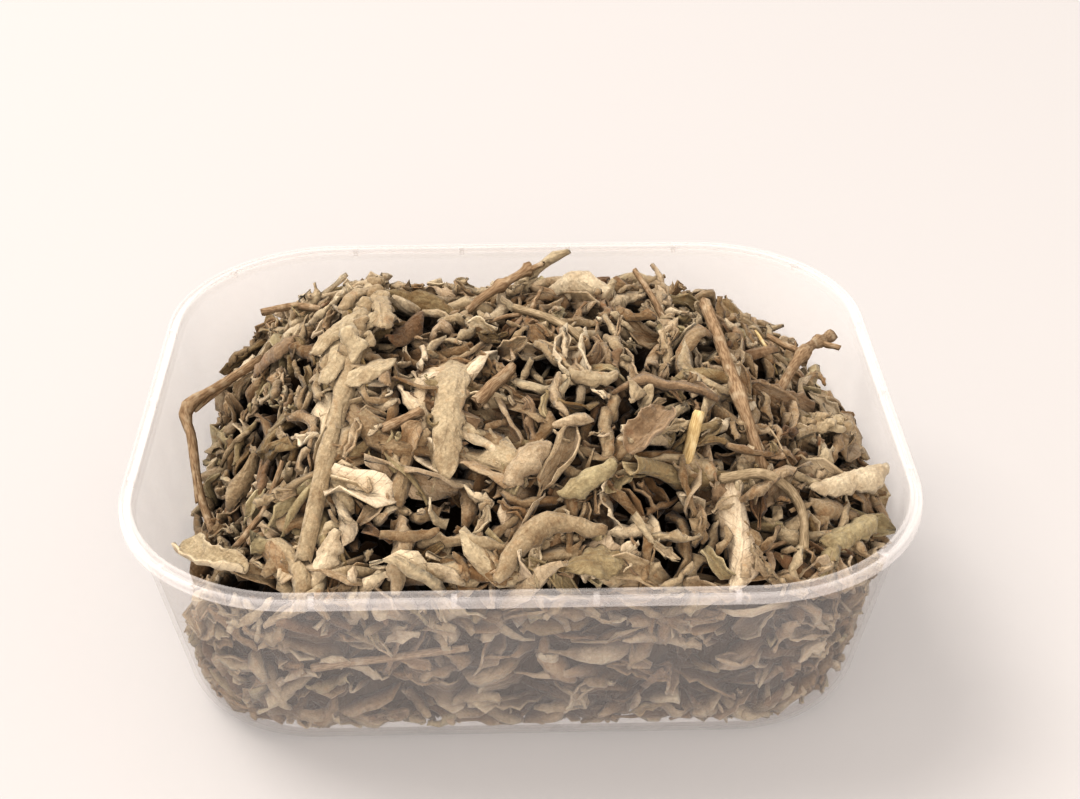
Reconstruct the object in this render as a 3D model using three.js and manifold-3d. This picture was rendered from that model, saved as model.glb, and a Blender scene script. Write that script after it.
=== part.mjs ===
// A shallow plastic food tub heaped with loose dried sage: curled leaves, leafy sprigs and broken stems.
// Millimetres, +Z up, origin at the middle of the tub's underside, +X along the rim's longer side.
import * as THREE from "three";
import { mergeVertices } from "three/addons/utils/BufferGeometryUtils.js";
import Module from "manifold-3d";

const wasm = await Module();
wasm.setup();

// Driving dimensions of the tub
const RIM_LENGTH = 175;
const RIM_DEPTH = 155;
const RIM_CORNER_RADIUS = 41;
const TUB_HEIGHT = 50;
const WALL = 1;
const RIM_WIDTH = 3;
const SKIRT_HEIGHT = 2.8;
const WALL_INSET = 10; // how far each wall leans in between the rim and the base
const BASE_CORNER_RADIUS = 29;
const BASE_FILLET = 6;
const RIB_WIDTH = 1.2;

// Driving dimensions of the heap
const HEAP_TOP = 73;
const HEAP_MEET_FRONT = 46; // where the heap meets each wall
const HEAP_MEET_BACK = 32;
const HEAP_MEET_RIGHT = 41;
const HEAP_MEET_LEFT = 32;
const CORE_DEPTH = 5; // the packed inside of the heap lies this far below its leafy skin
const CORE_WALL_GAP = 8;
const LOWEST_EDGE = 15; // the packed inside is at least this high all round
const WALL_CLEARANCE = 0.4;
const PIECE_CLEARANCE = 0.5;
const LEAF_THICKNESS = 0.8;
const TOP_LEAVES = 94;
const SIDE_LEAVES = 40;
const SEED = 36;

const Z_AXIS = new THREE.Vector3(0, 0, 1);

// A repeatable random draw: the same seed always gives the same heap.
function makeDraw(seed) {
  let state = seed;
  return (low, high) => {
    state = (state + 0x6d2b79f5) | 0;
    let mixed = Math.imul(state ^ (state >>> 15), 1 | state);
    mixed = (mixed + Math.imul(mixed ^ (mixed >>> 7), 61 | mixed)) ^ mixed;
    const share = ((mixed ^ (mixed >>> 14)) >>> 0) / 4294967296;
    return low + share * (high - low);
  };
}

// From a three.js geometry to a solid that can be joined and cut, and back.
function toSolid(geometry) {
  const bare = new THREE.BufferGeometry();
  bare.setAttribute("position", geometry.getAttribute("position"));
  bare.setIndex(geometry.getIndex());
  const merged = mergeVertices(bare);
  return new wasm.Manifold(
    new wasm.Mesh({
      numProp: 3,
      vertProperties: new Float32Array(merged.attributes.position.array),
      triVerts: new Uint32Array(merged.index.array),
    }),
  );
}

function toGeometry(solid) {
  const mesh = solid.getMesh();
  const geometry = new THREE.BufferGeometry();
  geometry.setAttribute("position", new THREE.BufferAttribute(mesh.vertProperties, mesh.numProp));
  geometry.setIndex(new THREE.BufferAttribute(mesh.triVerts, 1));
  return geometry.toNonIndexed();
}

// The largest body of a solid. Loose scraps go, and so do the hollows that joining sealed inside it.
function largestBody(solid) {
  const bodies = solid.decompose();
  return bodies.reduce((best, body) => (body.volume() > best.volume() ? body : best));
}

// The tub: every horizontal section is a rectangle with round corners

const CORNER_STEPS = 6;

function roundedRing(length, depth, radius, z) {
  const points = [];
  const centreX = length / 2 - radius;
  const centreY = depth / 2 - radius;
  const signs = [[1, -1], [1, 1], [-1, 1], [-1, -1]];
  signs.forEach(([signX, signY], corner) => {
    for (let step = 0; step <= CORNER_STEPS; step++) {
      const angle = ((corner - 1 + step / CORNER_STEPS) * Math.PI) / 2;
      const x = signX * centreX + radius * Math.cos(angle);
      const y = signY * centreY + radius * Math.sin(angle);
      points.push(new THREE.Vector3(x, y, z));
    }
  });
  return points;
}

// A closed solid through a stack of rings with equally many points. Each end is flat, or runs to a point.
// From the edge alikeFrom onward the four-sided faces are split the other way, so that the two faces of a
// thin twisted blade are split alike and never cross.
function loft(rings, { startPoint, endPoint, alikeFrom = Infinity } = {}) {
  const count = rings[0].length;
  const points = rings.flat();
  const triangles = [];
  for (let level = 0; level + 1 < rings.length; level++) {
    for (let i = 0; i < count; i++) {
      const next = (i + 1) % count;
      const a = level * count + i;
      const b = level * count + next;
      if (i < alikeFrom) {
        triangles.push([a, b, b + count], [a, b + count, a + count]);
      } else {
        triangles.push([a, b, a + count], [b, b + count, a + count]);
      }
    }
  }
  const last = (rings.length - 1) * count;
  if (startPoint) {
    const apex = points.push(startPoint) - 1;
    rings[0].forEach((_, i) => triangles.push([apex, (i + 1) % count, i]));
  } else {
    for (let i = 1; i + 1 < count; i++) triangles.push([0, i + 1, i]);
  }
  if (endPoint) {
    const apex = points.push(endPoint) - 1;
    rings[0].forEach((_, i) => triangles.push([apex, last + i, last + ((i + 1) % count)]));
  } else {
    for (let i = 1; i + 1 < count; i++) triangles.push([last, last + i, last + i + 1]);
  }
  const geometry = new THREE.BufferGeometry().setFromPoints(points);
  return geometry.setIndex(triangles.flat());
}

// A ring of the tub at a height, set in from the rim's outer edge.
function rimRing(inset, z) {
  return roundedRing(RIM_LENGTH - 2 * inset, RIM_DEPTH - 2 * inset, RIM_CORNER_RADIUS - inset, z);
}

// The inner face of the wall at a height: it leans in towards the base and its corners tighten.
function wallRing(inset, z) {
  const lean = Math.min(1, Math.max(0, 1 - z / TUB_HEIGHT));
  const side = RIM_WIDTH + WALL_INSET * lean + inset;
  const radiusAtRim = RIM_CORNER_RADIUS - RIM_WIDTH;
  const radius = radiusAtRim + (BASE_CORNER_RADIUS - radiusAtRim) * lean - inset;
  return roundedRing(RIM_LENGTH - 2 * side, RIM_DEPTH - 2 * side, radius, z);
}

// The rings of a wall's face from a flat floor through the fillet up to the top.
function wallRings(inset, floor, fillet, top) {
  const rings = [];
  const filletSteps = 4;
  for (let step = 0; step <= filletSteps; step++) {
    const angle = (step / filletSteps) * (Math.PI / 2);
    const z = floor + fillet * (1 - Math.cos(angle));
    rings.push(wallRing(inset + fillet * (1 - Math.sin(angle)), z));
  }
  rings.push(wallRing(inset, top));
  return rings;
}

function makeTub() {
  const flangeUnderside = TUB_HEIGHT - 1.8;
  const grooveFloor = TUB_HEIGHT - 0.9;
  const lipTop = TUB_HEIGHT - 0.3;
  const skirtWall = 0.8;
  const lipInset = 0.9;
  const beadInset = RIM_WIDTH - 0.9;
  const outside = wallRings(-WALL, 0, BASE_FILLET, flangeUnderside);
  const rim = [
    rimRing(skirtWall, flangeUnderside),
    rimRing(skirtWall, TUB_HEIGHT - SKIRT_HEIGHT),
    rimRing(0, TUB_HEIGHT - SKIRT_HEIGHT),
    rimRing(0, lipTop - 0.4),
    rimRing(0.4, lipTop),
    rimRing(lipInset, lipTop),
    rimRing(lipInset + 0.2, grooveFloor),
    rimRing(beadInset - 0.2, grooveFloor),
    rimRing(beadInset, TUB_HEIGHT),
    rimRing(RIM_WIDTH - 0.2, TUB_HEIGHT),
  ];
  const inside = wallRings(0, WALL, BASE_FILLET - WALL, TUB_HEIGHT - 0.3).reverse();
  let tub = toSolid(loft([...outside, ...rim, ...inside]));

  // Small ribs cross the groove between the lip and the bead, all the way round the rim.
  const ribLength = RIM_WIDTH - 1;
  const ribHeight = 0.9;
  const rib = new THREE.BoxGeometry(RIB_WIDTH, ribLength, ribHeight);
  const ribZ = lipTop - 0.1 - ribHeight / 2;
  const cornerX = RIM_LENGTH / 2 - RIM_CORNER_RADIUS;
  const cornerY = RIM_DEPTH / 2 - RIM_CORNER_RADIUS;
  const places = [];
  for (const sign of [-1, 1]) {
    for (const x of [-43, -14.3, 14.3, 43]) {
      places.push([x, sign * (RIM_DEPTH / 2 - RIM_WIDTH / 2), 0]);
    }
    for (const y of [-32.7, 0, 32.7]) {
      places.push([sign * (RIM_LENGTH / 2 - RIM_WIDTH / 2), y, Math.PI / 2]);
    }
    const reach = (RIM_CORNER_RADIUS - RIM_WIDTH / 2) * Math.SQRT1_2;
    places.push([sign * (cornerX + reach), -cornerY - reach, (sign * Math.PI) / 4]);
    places.push([sign * (cornerX + reach), cornerY + reach, (-sign * Math.PI) / 4]);
  }
  for (const [x, y, turn] of places) {
    const placed = rib.clone().rotateZ(turn).translate(x, y, ribZ);
    tub = tub.add(toSolid(placed));
  }
  return largestBody(tub);
}

// The heap's surface

// The height of the heap over a point: highest in the middle, steep at the sides, lower at the back. On the left
// it is steeper and stands further in from the wall, the more so towards the front, but for a knot of leaves in
// the front corner.
function heapHeight(x, y) {
  const left = x < 0;
  const halfLength = RIM_LENGTH / 2 - (left ? 16.5 - 0.12 * y : 8);
  const acrossX = Math.abs(x) / halfLength;
  const acrossY = Math.abs(y) / (RIM_DEPTH / 2 - 2.5);
  const reach = Math.pow(acrossX ** 4 + acrossY ** 4, 0.25);
  const sideShare = acrossX ** 4 / (acrossX ** 4 + acrossY ** 4 + 1e-9);
  const behind = THREE.MathUtils.clamp(y + 20, 0, 50);
  const atSide = left ? HEAP_MEET_LEFT - 0.1 * behind : HEAP_MEET_RIGHT - 0.27 * behind;
  const atEnd = y < 0 ? HEAP_MEET_FRONT : HEAP_MEET_BACK;
  const slope = THREE.MathUtils.lerp(y < 0 ? 0.8 : 0.75, left ? 1.6 : 1.05, sideShare);
  const fromWall = THREE.MathUtils.lerp(atEnd, atSide, sideShare) + slope * (1 - reach) * 75;
  const backSlope = 51 + 0.6 * (44 - y);
  const knoll = 3 * Math.exp(-((x - 12) ** 2 + (y - 8) ** 2) / 300);
  const cornerKnot = 16 * Math.exp(-((x + 63) ** 2 + (y + 58) ** 2) / 180);
  const blend = 4;
  const total = [HEAP_TOP + knoll, fromWall, backSlope]
    .map((height) => Math.exp(-height / blend))
    .reduce((sum, value) => sum + value);
  return cornerKnot - blend * Math.log(total);
}

// A point that lies above the heap's surface by the lift.
function onHeap(x, y, lift) {
  return new THREE.Vector3(x, y, heapHeight(x, y) + lift);
}

function heapNormal(x, y) {
  const step = 1;
  const slopeX = (heapHeight(x + step, y) - heapHeight(x - step, y)) / (2 * step);
  const slopeY = (heapHeight(x, y + step) - heapHeight(x, y - step)) / (2 * step);
  return new THREE.Vector3(-slopeX, -slopeY, 1).normalize();
}

// Leaves and stems

// One leaf as a closed blade along a curve. Each cross-section is an arc: a small curl gives a cupped leaf, a
// curl past half a turn a rolled one. It is as thick all over as in the middle, or thins out to sharp edges.
function leafGeometry(curve, normal, form) {
  const { width, curl, twist = 0, thickness = LEAF_THICKNESS, across = 2, steps = 4, sharp = false } = form;
  const rings = [];
  for (let step = 1; step < steps; step++) {
    const t = step / steps;
    const along = curve.getTangent(t);
    const side = new THREE.Vector3().crossVectors(normal, along).normalize();
    const up = new THREE.Vector3().crossVectors(along, side);
    side.applyAxisAngle(along, twist * (t - 0.5));
    up.applyAxisAngle(along, twist * (t - 0.5));
    const fullness = Math.pow(Math.sin(Math.PI * Math.pow(t, 0.85)), 0.7);
    const radius = (width * fullness) / curl;
    const pointAt = (column, height) => {
      const angle = curl * (0.5 - column / across);
      const out = radius + height;
      const point = curve.getPoint(t);
      point.addScaledVector(side, out * Math.sin(angle));
      return point.addScaledVector(up, out * Math.cos(angle) - radius);
    };
    const edge = sharp ? 0 : thickness / 2;
    const upper = [];
    const lower = [];
    for (let column = 0; column <= across; column++) {
      const atEdge = column === 0 || column === across;
      upper.push(pointAt(column, atEdge ? edge : thickness / 2));
      lower.unshift(pointAt(column, atEdge ? -edge : -thickness / 2));
    }
    rings.push([...upper, ...(sharp ? lower.slice(1, -1) : lower)]);
  }
  const alikeFrom = sharp ? across : across + 1;
  return loft(rings, { startPoint: curve.getPoint(0), endPoint: curve.getPoint(1), alikeFrom });
}

// A leaf through hand-placed points. The clearance grows it all round, to cut its resting place in the heap.
function leafSolid(path, form, clearance = 0) {
  const ends = [path[0].clone(), path.at(-1).clone()];
  const outward = ends[1].clone().sub(ends[0]).setLength(clearance);
  const points = [ends[0].sub(outward), ...path.slice(1, -1), ends[1].add(outward)];
  const grown = {
    ...form,
    width: form.width + 2 * clearance,
    thickness: (form.thickness ?? LEAF_THICKNESS) + 2 * clearance,
  };
  return toSolid(leafGeometry(new THREE.CatmullRomCurve3(points), form.normal ?? Z_AXIS, grown));
}

// A stem of constant thickness with flat broken ends, extruded along its curve.
function stemSolid(path, radius, { steps = 5, sides = 5 } = {}, clearance = 0) {
  const lead = path[0].clone().sub(path[1]).setLength(clearance);
  const tail = path.at(-1).clone().sub(path.at(-2)).setLength(clearance);
  const points = [path[0].clone().add(lead), ...path.slice(1, -1), path.at(-1).clone().add(tail)];
  const section = new THREE.Shape();
  const grown = (radius + clearance) / Math.cos(Math.PI / sides / 2);
  for (let side = 0; side < sides; side++) {
    const angle = (2 * Math.PI * side) / sides;
    const move = side === 0 ? "moveTo" : "lineTo";
    section[move](grown * Math.cos(angle), grown * Math.sin(angle));
  }
  const extrudePath = new THREE.CatmullRomCurve3(points);
  return toSolid(new THREE.ExtrudeGeometry(section, { steps, extrudePath }));
}

// A knob where a leaf pair once grew on a stem.
function knobSolid(centre, radius, clearance = 0) {
  const knob = new THREE.IcosahedronGeometry(radius + clearance, 0);
  return toSolid(knob.translate(centre.x, centre.y, centre.z));
}

// A leafy sprig: leaves spring in crossed pairs from the upper part of its stem.
function sprigSolid(path, radius, { pairs, from, length, width, draw }, clearance = 0) {
  const parts = [stemSolid(path, radius, {}, clearance)];
  const curve = new THREE.CatmullRomCurve3(path);
  for (let pair = 0; pair < pairs; pair++) {
    const t = from + ((0.96 - from) * pair) / Math.max(1, pairs - 1);
    const root = curve.getPoint(t);
    const along = curve.getTangent(t);
    for (const sign of [-1, 1]) {
      const lift = pair % 2 === 0 ? 0.35 : 0.9;
      const side = new THREE.Vector3().crossVectors(Z_AXIS, along).normalize().multiplyScalar(sign);
      const out = side.addScaledVector(Z_AXIS, lift).addScaledVector(along, draw(0.2, 0.9)).normalize();
      const reach = length * draw(0.8, 1.15);
      const middle = root.clone().addScaledVector(out, 0.55 * reach).addScaledVector(Z_AXIS, 1);
      const tip = root.clone().addScaledVector(out, reach).addScaledVector(Z_AXIS, -1.5);
      const form = { width: width * draw(0.85, 1.15), curl: draw(1.2, 2.6), twist: draw(-0.8, 0.8), normal: along };
      Object.assign(form, { thickness: 1.2, sharp: true });
      parts.push(leafSolid([root, middle, tip], form, clearance));
    }
  }
  return largestBody(wasm.Manifold.union(parts));
}

// The heap of loose leaves

// The room that the tub leaves for its filling. Above the rim, leaves may lean out over it.
function fillingRoom() {
  const floor = WALL + WALL_CLEARANCE;
  const rimTop = TUB_HEIGHT + WALL_CLEARANCE;
  const rings = wallRings(WALL_CLEARANCE, floor, BASE_FILLET - WALL, TUB_HEIGHT);
  rings.push(wallRing(WALL_CLEARANCE, rimTop), rimRing(1, rimTop), rimRing(1, 2 * TUB_HEIGHT));
  return toSolid(loft(rings));
}

// The packed inside of the heap, which the leaves stand out of. It is crumpled all over, like the leaves in it.
function heapCore(draw) {
  const floor = WALL + WALL_CLEARANCE;
  const crumple = (point) => point.multiply(new THREE.Vector3(draw(0.95, 1), draw(0.95, 1), 1));
  const rings = wallRings(CORE_WALL_GAP, floor, BASE_FILLET, 0.4 * HEAP_MEET_BACK);
  rings.slice(3).forEach((ring) => ring.forEach(crumple));
  const edge = wallRing(CORE_WALL_GAP, TUB_HEIGHT).map(({ x, y }, i) => {
    const z = heapHeight(x, y) - CORE_DEPTH - draw(1, 4);
    return crumple(wallRing(CORE_WALL_GAP, Math.max(z, LOWEST_EDGE))[i]);
  });
  rings.push(edge);
  for (const share of [0.9, 0.76, 0.6, 0.44, 0.28, 0.12]) {
    rings.push(edge.map(({ x, y }) => onHeap(share * x, share * y, -CORE_DEPTH + draw(-3, 2))));
  }
  return toSolid(loft(rings));
}

function looseLeaf(root, normal, heading, draw) {
  const length = draw(28.6, 44.2);
  const side = new THREE.Vector3().crossVectors(normal, heading).normalize();
  const bend = draw(-0.25, 0.25) * length;
  const rise = draw(3, 7);
  const path = [
    root.clone().addScaledVector(normal, -3),
    root.clone().addScaledVector(heading, 0.35 * length).addScaledVector(normal, 0.75 * rise),
    root.clone().addScaledVector(heading, 0.7 * length).addScaledVector(normal, rise).addScaledVector(side, bend / 2),
    root.clone().addScaledVector(heading, length).addScaledVector(normal, draw(0, 5)).addScaledVector(side, bend),
  ];
  const rolled = draw(0, 1) < 0.3;
  const form = {
    width: draw(11.7, 18.2),
    curl: rolled ? draw(2.6, 3.6) : draw(0.4, 1.4) * (draw(0, 1) < 0.7 ? 1 : -1),
    twist: draw(-1.2, 1.2),
    across: rolled ? 3 : 2,
    steps: 3,
    thickness: 1.2,
    sharp: true,
  };
  return toSolid(leafGeometry(new THREE.CatmullRomCurve3(path), normal, form));
}

function makeHeap(settled) {
  const draw = makeDraw(SEED);
  const parts = [heapCore(draw)];
  const goldenAngle = Math.PI * (3 - Math.sqrt(5));

  // Leaves over the top, spread by a sunflower spiral that is stretched to the tub's outline and a little closer
  // at its edge, where the heap is steep.
  for (let i = 0; i < TOP_LEAVES; i++) {
    const reach = Math.pow((i + 0.5) / TOP_LEAVES, 0.46);
    const angle = i * goldenAngle;
    const square = Math.pow(Math.cos(angle) ** 4 + Math.sin(angle) ** 4, -0.22);
    const x = (RIM_LENGTH / 2 - 12) * reach * square * Math.cos(angle) + draw(-2, 2);
    const y = (RIM_DEPTH / 2 - 11) * reach * square * Math.sin(angle) + draw(-2, 2);
    const normal = heapNormal(x, y);
    const turn = draw(0, 2 * Math.PI);
    const heading = new THREE.Vector3(Math.cos(turn), Math.sin(turn), 0).projectOnPlane(normal).normalize();
    parts.push(looseLeaf(onHeap(x, y, -CORE_DEPTH), normal, heading, draw));
  }

  // Leaves against the walls, in rows one above another, seen through the plastic.
  const rows = 3;
  for (let i = 0; i < SIDE_LEAVES; i++) {
    const around = (i + draw(0, 0.5)) / SIDE_LEAVES;
    const outlineAt = (z) => new THREE.CatmullRomCurve3(wallRing(CORE_WALL_GAP, z), true);
    const atRim = outlineAt(TUB_HEIGHT).getPointAt(around);
    const highest = Math.max(heapHeight(atRim.x, atRim.y) - 2 * CORE_DEPTH, LOWEST_EDGE);
    const z = THREE.MathUtils.lerp(8, highest, ((i % rows) + draw(0, 0.6)) / rows);
    const place = outlineAt(z).getPointAt(around);
    const along = outlineAt(z).getTangentAt(around);
    const normal = new THREE.Vector3().crossVectors(along, Z_AXIS).normalize();
    const heading = along.applyAxisAngle(normal, draw(-0.9, 0.9) + (draw(0, 1) < 0.5 ? Math.PI : 0));
    parts.push(looseLeaf(place, normal, heading, draw));
  }

  let heap = wasm.Manifold.union(parts).intersect(fillingRoom());
  for (const piece of settled) {
    heap = heap.subtract(piece.makeSolid(PIECE_CLEARANCE));
  }
  return largestBody(heap);
}

// The single pieces that lie on the heap and stand out of it

function vector(x, y, z) {
  return new THREE.Vector3(x, y, z);
}

// A point beside the inner face of the front wall.
function byFrontWall(x, z, gap) {
  const inset = RIM_WIDTH + WALL_INSET * (1 - z / TUB_HEIGHT) + gap;
  return vector(x, inset - RIM_DEPTH / 2, z);
}

const GREY_STEM = 0x9c8f7a;
const BROWN_STEM = 0x8a6748;
const PALE_STEM = 0xc2ad7c;
const GREY_LEAF = 0xaca48c;
const GREEN_LEAF = 0x9a9768;
const WHITE_LEAF = 0xc4beab;
const BROWN_LEAF = 0x84755f;

function stemPiece(name, colour, radius, path, options) {
  return { name, colour, makeSolid: (clearance = 0) => stemSolid(path, radius, options, clearance) };
}

function leafPiece(name, colour, path, form) {
  return { name, colour, makeSolid: (clearance = 0) => leafSolid(path, form, clearance) };
}

function knobbedPiece(name, colour, radius, path, knobs, twigs = []) {
  const curve = new THREE.CatmullRomCurve3(path);
  const makeSolid = (clearance = 0) => {
    const parts = [stemSolid(path, radius, {}, clearance)];
    for (const [share, size] of knobs) {
      parts.push(knobSolid(curve.getPoint(share), size, clearance));
    }
    for (const [share, tip, size] of twigs) {
      parts.push(stemSolid([curve.getPoint(share), tip], size, { steps: 1 }, clearance));
    }
    return largestBody(wasm.Manifold.union(parts));
  };
  return { name, colour, makeSolid };
}

function sprigPiece(name, colour, radius, path, options) {
  const makeSolid = (clearance = 0) => {
    const draw = makeDraw(SEED + path.length);
    return sprigSolid(path, radius, { ...options, draw }, clearance);
  };
  return { name, colour, makeSolid };
}

const singlePieces = [
  sprigPiece("leafy_sprig_left", GREY_LEAF, 1.8,
    [onHeap(-45.6, -63.9, 1), onHeap(-41, -49, 3.5), onHeap(-35.3, -23.8, 5), onHeap(-32.7, 1.7, 5)],
    { pairs: 5, from: 0.5, length: 11, width: 6.5 }),
  knobbedPiece("bent_stem_left", BROWN_STEM, 1.1,
    [vector(-63, 24, 46), vector(-72, 13.5, 45), vector(-79.5, 6, 43), vector(-77.5, -1.5, 39), vector(-75, -13.5, 33),
      vector(-70.5, -26, 30)],
    [[0.4, 1.9]]),
  stemPiece("back_twig", BROWN_STEM, 0.9, [vector(-62, 26, 58), onHeap(-54, 19, 5), onHeap(-46, 10, 0)]),
  knobbedPiece("knobby_twig_top", BROWN_STEM, 1.1,
    [onHeap(-12, 0, 0), onHeap(-5, 4, 4), onHeap(3, 8, 8)],
    [[0.55, 1.8], [0.97, 2]], [[0.9, onHeap(6, 6, 9), 0.7]]),
  stemPiece("grey_stem_top", GREY_STEM, 1, [onHeap(-1, -6, 3), onHeap(7, -13, 4), onHeap(15, -21, 2)]),
  stemPiece("thin_stick_back", BROWN_STEM, 0.8, [onHeap(33, -3, -1), onHeap(30, 3, 3), onHeap(27, 10, 7)]),
  knobbedPiece("long_brown_stem", BROWN_STEM, 1.4,
    [onHeap(42, -5, 6), onHeap(44, -19, 3.5), onHeap(47, -37, 2.5), onHeap(51, -48, -1)],
    [[0.62, 1.9]]),
  knobbedPiece("forked_twig_right", BROWN_STEM, 1.2,
    [onHeap(57, -20, -2), onHeap(61, -12, 4), onHeap(67, 0, 13), onHeap(76, 17, 20)],
    [[0.45, 2], [0.75, 1.9], [0.97, 1.8]], [[0.45, onHeap(58, 2, 7), 0.8], [0.75, onHeap(76, 6, 20), 0.8]]),
  sprigPiece("leafy_sprig_right", GREY_LEAF, 1.1,
    [onHeap(60, -33, 0), onHeap(67, -26, 3), onHeap(72, -20, 4)],
    { pairs: 3, from: 0.4, length: 8, width: 6 }),
  stemPiece("arched_stem_right", GREY_STEM, 1.2,
    [onHeap(41, -54, 2), onHeap(51, -52, 3.5), onHeap(58, -55, 3), onHeap(58, -63, 1)]),
  stemPiece("yellow_stem", PALE_STEM, 1.4, [onHeap(34, -50, -2), onHeap(37, -46, 7)], { steps: 2 }),
  stemPiece("brown_stem_middle", BROWN_STEM, 1.5, [onHeap(-10, -40, 1.5), onHeap(-2, -31, 3)], { steps: 2 }),
  stemPiece("brown_stem_left", BROWN_STEM, 1.2, [onHeap(-29, -45, 1.5), onHeap(-21, -43, 3)], { steps: 2 }),
  stemPiece("short_stem_right", GREY_STEM, 1, [onHeap(70, -40, 1), onHeap(77.5, -38.5, 5)], { steps: 2 }),
  stemPiece("wall_stem", BROWN_STEM, 0.9, [byFrontWall(-45, 24, 2), byFrontWall(-30, 27, 1.6), byFrontWall(-12, 30, 2)]),
  leafPiece("round_leaf_top", WHITE_LEAF, [onHeap(6, 12, 1), onHeap(13, 9, 6), onHeap(21, 5, 2)],
    { width: 10, curl: 2.2, across: 3, steps: 6 }),
  leafPiece("tall_leaf", GREY_LEAF, [onHeap(-14, -22, 1), onHeap(-15, -38, 3.5), onHeap(-16, -55, 2)],
    { width: 9, curl: 0.9, steps: 8 }),
  leafPiece("pale_leaf_right", WHITE_LEAF, [onHeap(61, -49, 2.5), onHeap(71, -43, 8), onHeap(80, -36, 13)],
    { width: 9, curl: 2.6, across: 3, steps: 6 }),
  leafPiece("green_leaf_right", GREEN_LEAF, [onHeap(62, -60, 2), onHeap(69, -55, 4), onHeap(75, -49, 6)],
    { width: 8, curl: 1.8, across: 3, steps: 6 }),
  leafPiece("violet_leaf", BROWN_LEAF, [onHeap(22, -51, 2), onHeap(27, -48, 4), onHeap(31, -43, 3)],
    { width: 9, curl: -1.8, across: 3, steps: 6 }),
  leafPiece("white_leaf", WHITE_LEAF, [onHeap(-4, -56, 2), onHeap(1, -52, 4), onHeap(6, -49, 2)],
    { width: 10, curl: 3, across: 4, steps: 6 }),
  leafPiece("rolled_leaf", GREEN_LEAF, [onHeap(7, -58, 2), onHeap(13, -56, 4), onHeap(19, -53, 3)],
    { width: 9, curl: 3.6, across: 4, steps: 6 }),
  leafPiece("front_leaf", GREY_LEAF,
    [vector(-6, -75, 52.3), onHeap(-2, -68, 5), onHeap(5, -63, 4), onHeap(17, -64, 2)],
    { width: 10, curl: 3.2, across: 4, steps: 8 }),
  leafPiece("veined_leaf", GREEN_LEAF, [onHeap(6, -71, 3), onHeap(13, -70.5, 4.5), onHeap(20, -69, 2)],
    { width: 8, curl: 0.8, steps: 6 }),
  leafPiece("boat_leaf", GREY_LEAF, [vector(-73.5, -49.5, 43), vector(-66.5, -59, 46), vector(-57.5, -64, 47)],
    { width: 9, curl: -2.2, across: 3, steps: 6 }),
  leafPiece("thick_leaf", WHITE_LEAF, [onHeap(-45, -66, 2), onHeap(-41.5, -67.5, 4), onHeap(-39.5, -65, 2)],
    { width: 8, curl: 2.8, across: 3, steps: 6 }),
  leafPiece("dark_leaf", BROWN_LEAF, [onHeap(-64, 20, 2), onHeap(-57.5, 9, 5), onHeap(-52, 4, 2)],
    { width: 9, curl: 2.4, across: 3, steps: 6 }),
];

// The object

function makeMesh(name, solid, colour, roughness, extra = {}) {
  const material = new THREE.MeshStandardMaterial({ color: colour, roughness, metalness: 0, ...extra });
  const mesh = new THREE.Mesh(toGeometry(solid), material);
  mesh.name = name;
  return mesh;
}

const tubOfSage = new THREE.Group();
tubOfSage.add(makeMesh("tub", makeTub(), 0xf1ebe6, 0.35, { transparent: true, opacity: 0.4 }));
tubOfSage.add(makeMesh("leaf_heap", makeHeap(singlePieces), GREY_LEAF, 0.9));
for (const piece of singlePieces) {
  tubOfSage.add(makeMesh(piece.name, piece.makeSolid(), piece.colour, 0.85));
}

export default tubOfSage;
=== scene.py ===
import math

import bpy
import numpy as np
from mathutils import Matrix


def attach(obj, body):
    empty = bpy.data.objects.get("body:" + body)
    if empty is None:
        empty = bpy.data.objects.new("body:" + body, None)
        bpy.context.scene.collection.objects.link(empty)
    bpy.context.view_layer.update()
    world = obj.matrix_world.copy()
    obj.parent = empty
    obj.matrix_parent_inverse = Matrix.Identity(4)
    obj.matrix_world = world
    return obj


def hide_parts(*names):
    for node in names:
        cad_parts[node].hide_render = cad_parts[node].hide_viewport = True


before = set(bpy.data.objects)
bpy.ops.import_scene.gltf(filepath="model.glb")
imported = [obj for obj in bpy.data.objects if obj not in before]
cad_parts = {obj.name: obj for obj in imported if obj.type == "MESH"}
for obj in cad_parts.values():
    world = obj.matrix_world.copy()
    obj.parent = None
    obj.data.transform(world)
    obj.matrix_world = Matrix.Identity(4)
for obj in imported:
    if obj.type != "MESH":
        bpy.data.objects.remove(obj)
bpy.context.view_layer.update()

# The camera
# It stands in front of the tub's long side and looks down at it, a little right of square. The place and the
# lens come from fitting the rim and the base to the photograph.
CAMERA_PLACE = (-0.0047, -0.3677, 0.27854)
CAMERA_TILT = math.radians(57.924)
CAMERA_TURN = math.radians(-1.494)
SENSOR_WIDTH = 36
FOCAL_LENGTH = 61.31

lens = bpy.data.cameras.new("camera")
lens.sensor_fit = "HORIZONTAL"
lens.sensor_width = SENSOR_WIDTH
lens.lens = FOCAL_LENGTH
lens.clip_start = 0.01
camera = bpy.data.objects.new("camera", lens)
camera.location = CAMERA_PLACE
camera.rotation_euler = (CAMERA_TILT, 0, CAMERA_TURN)
bpy.context.scene.collection.objects.link(camera)
bpy.context.scene.camera = camera


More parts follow.
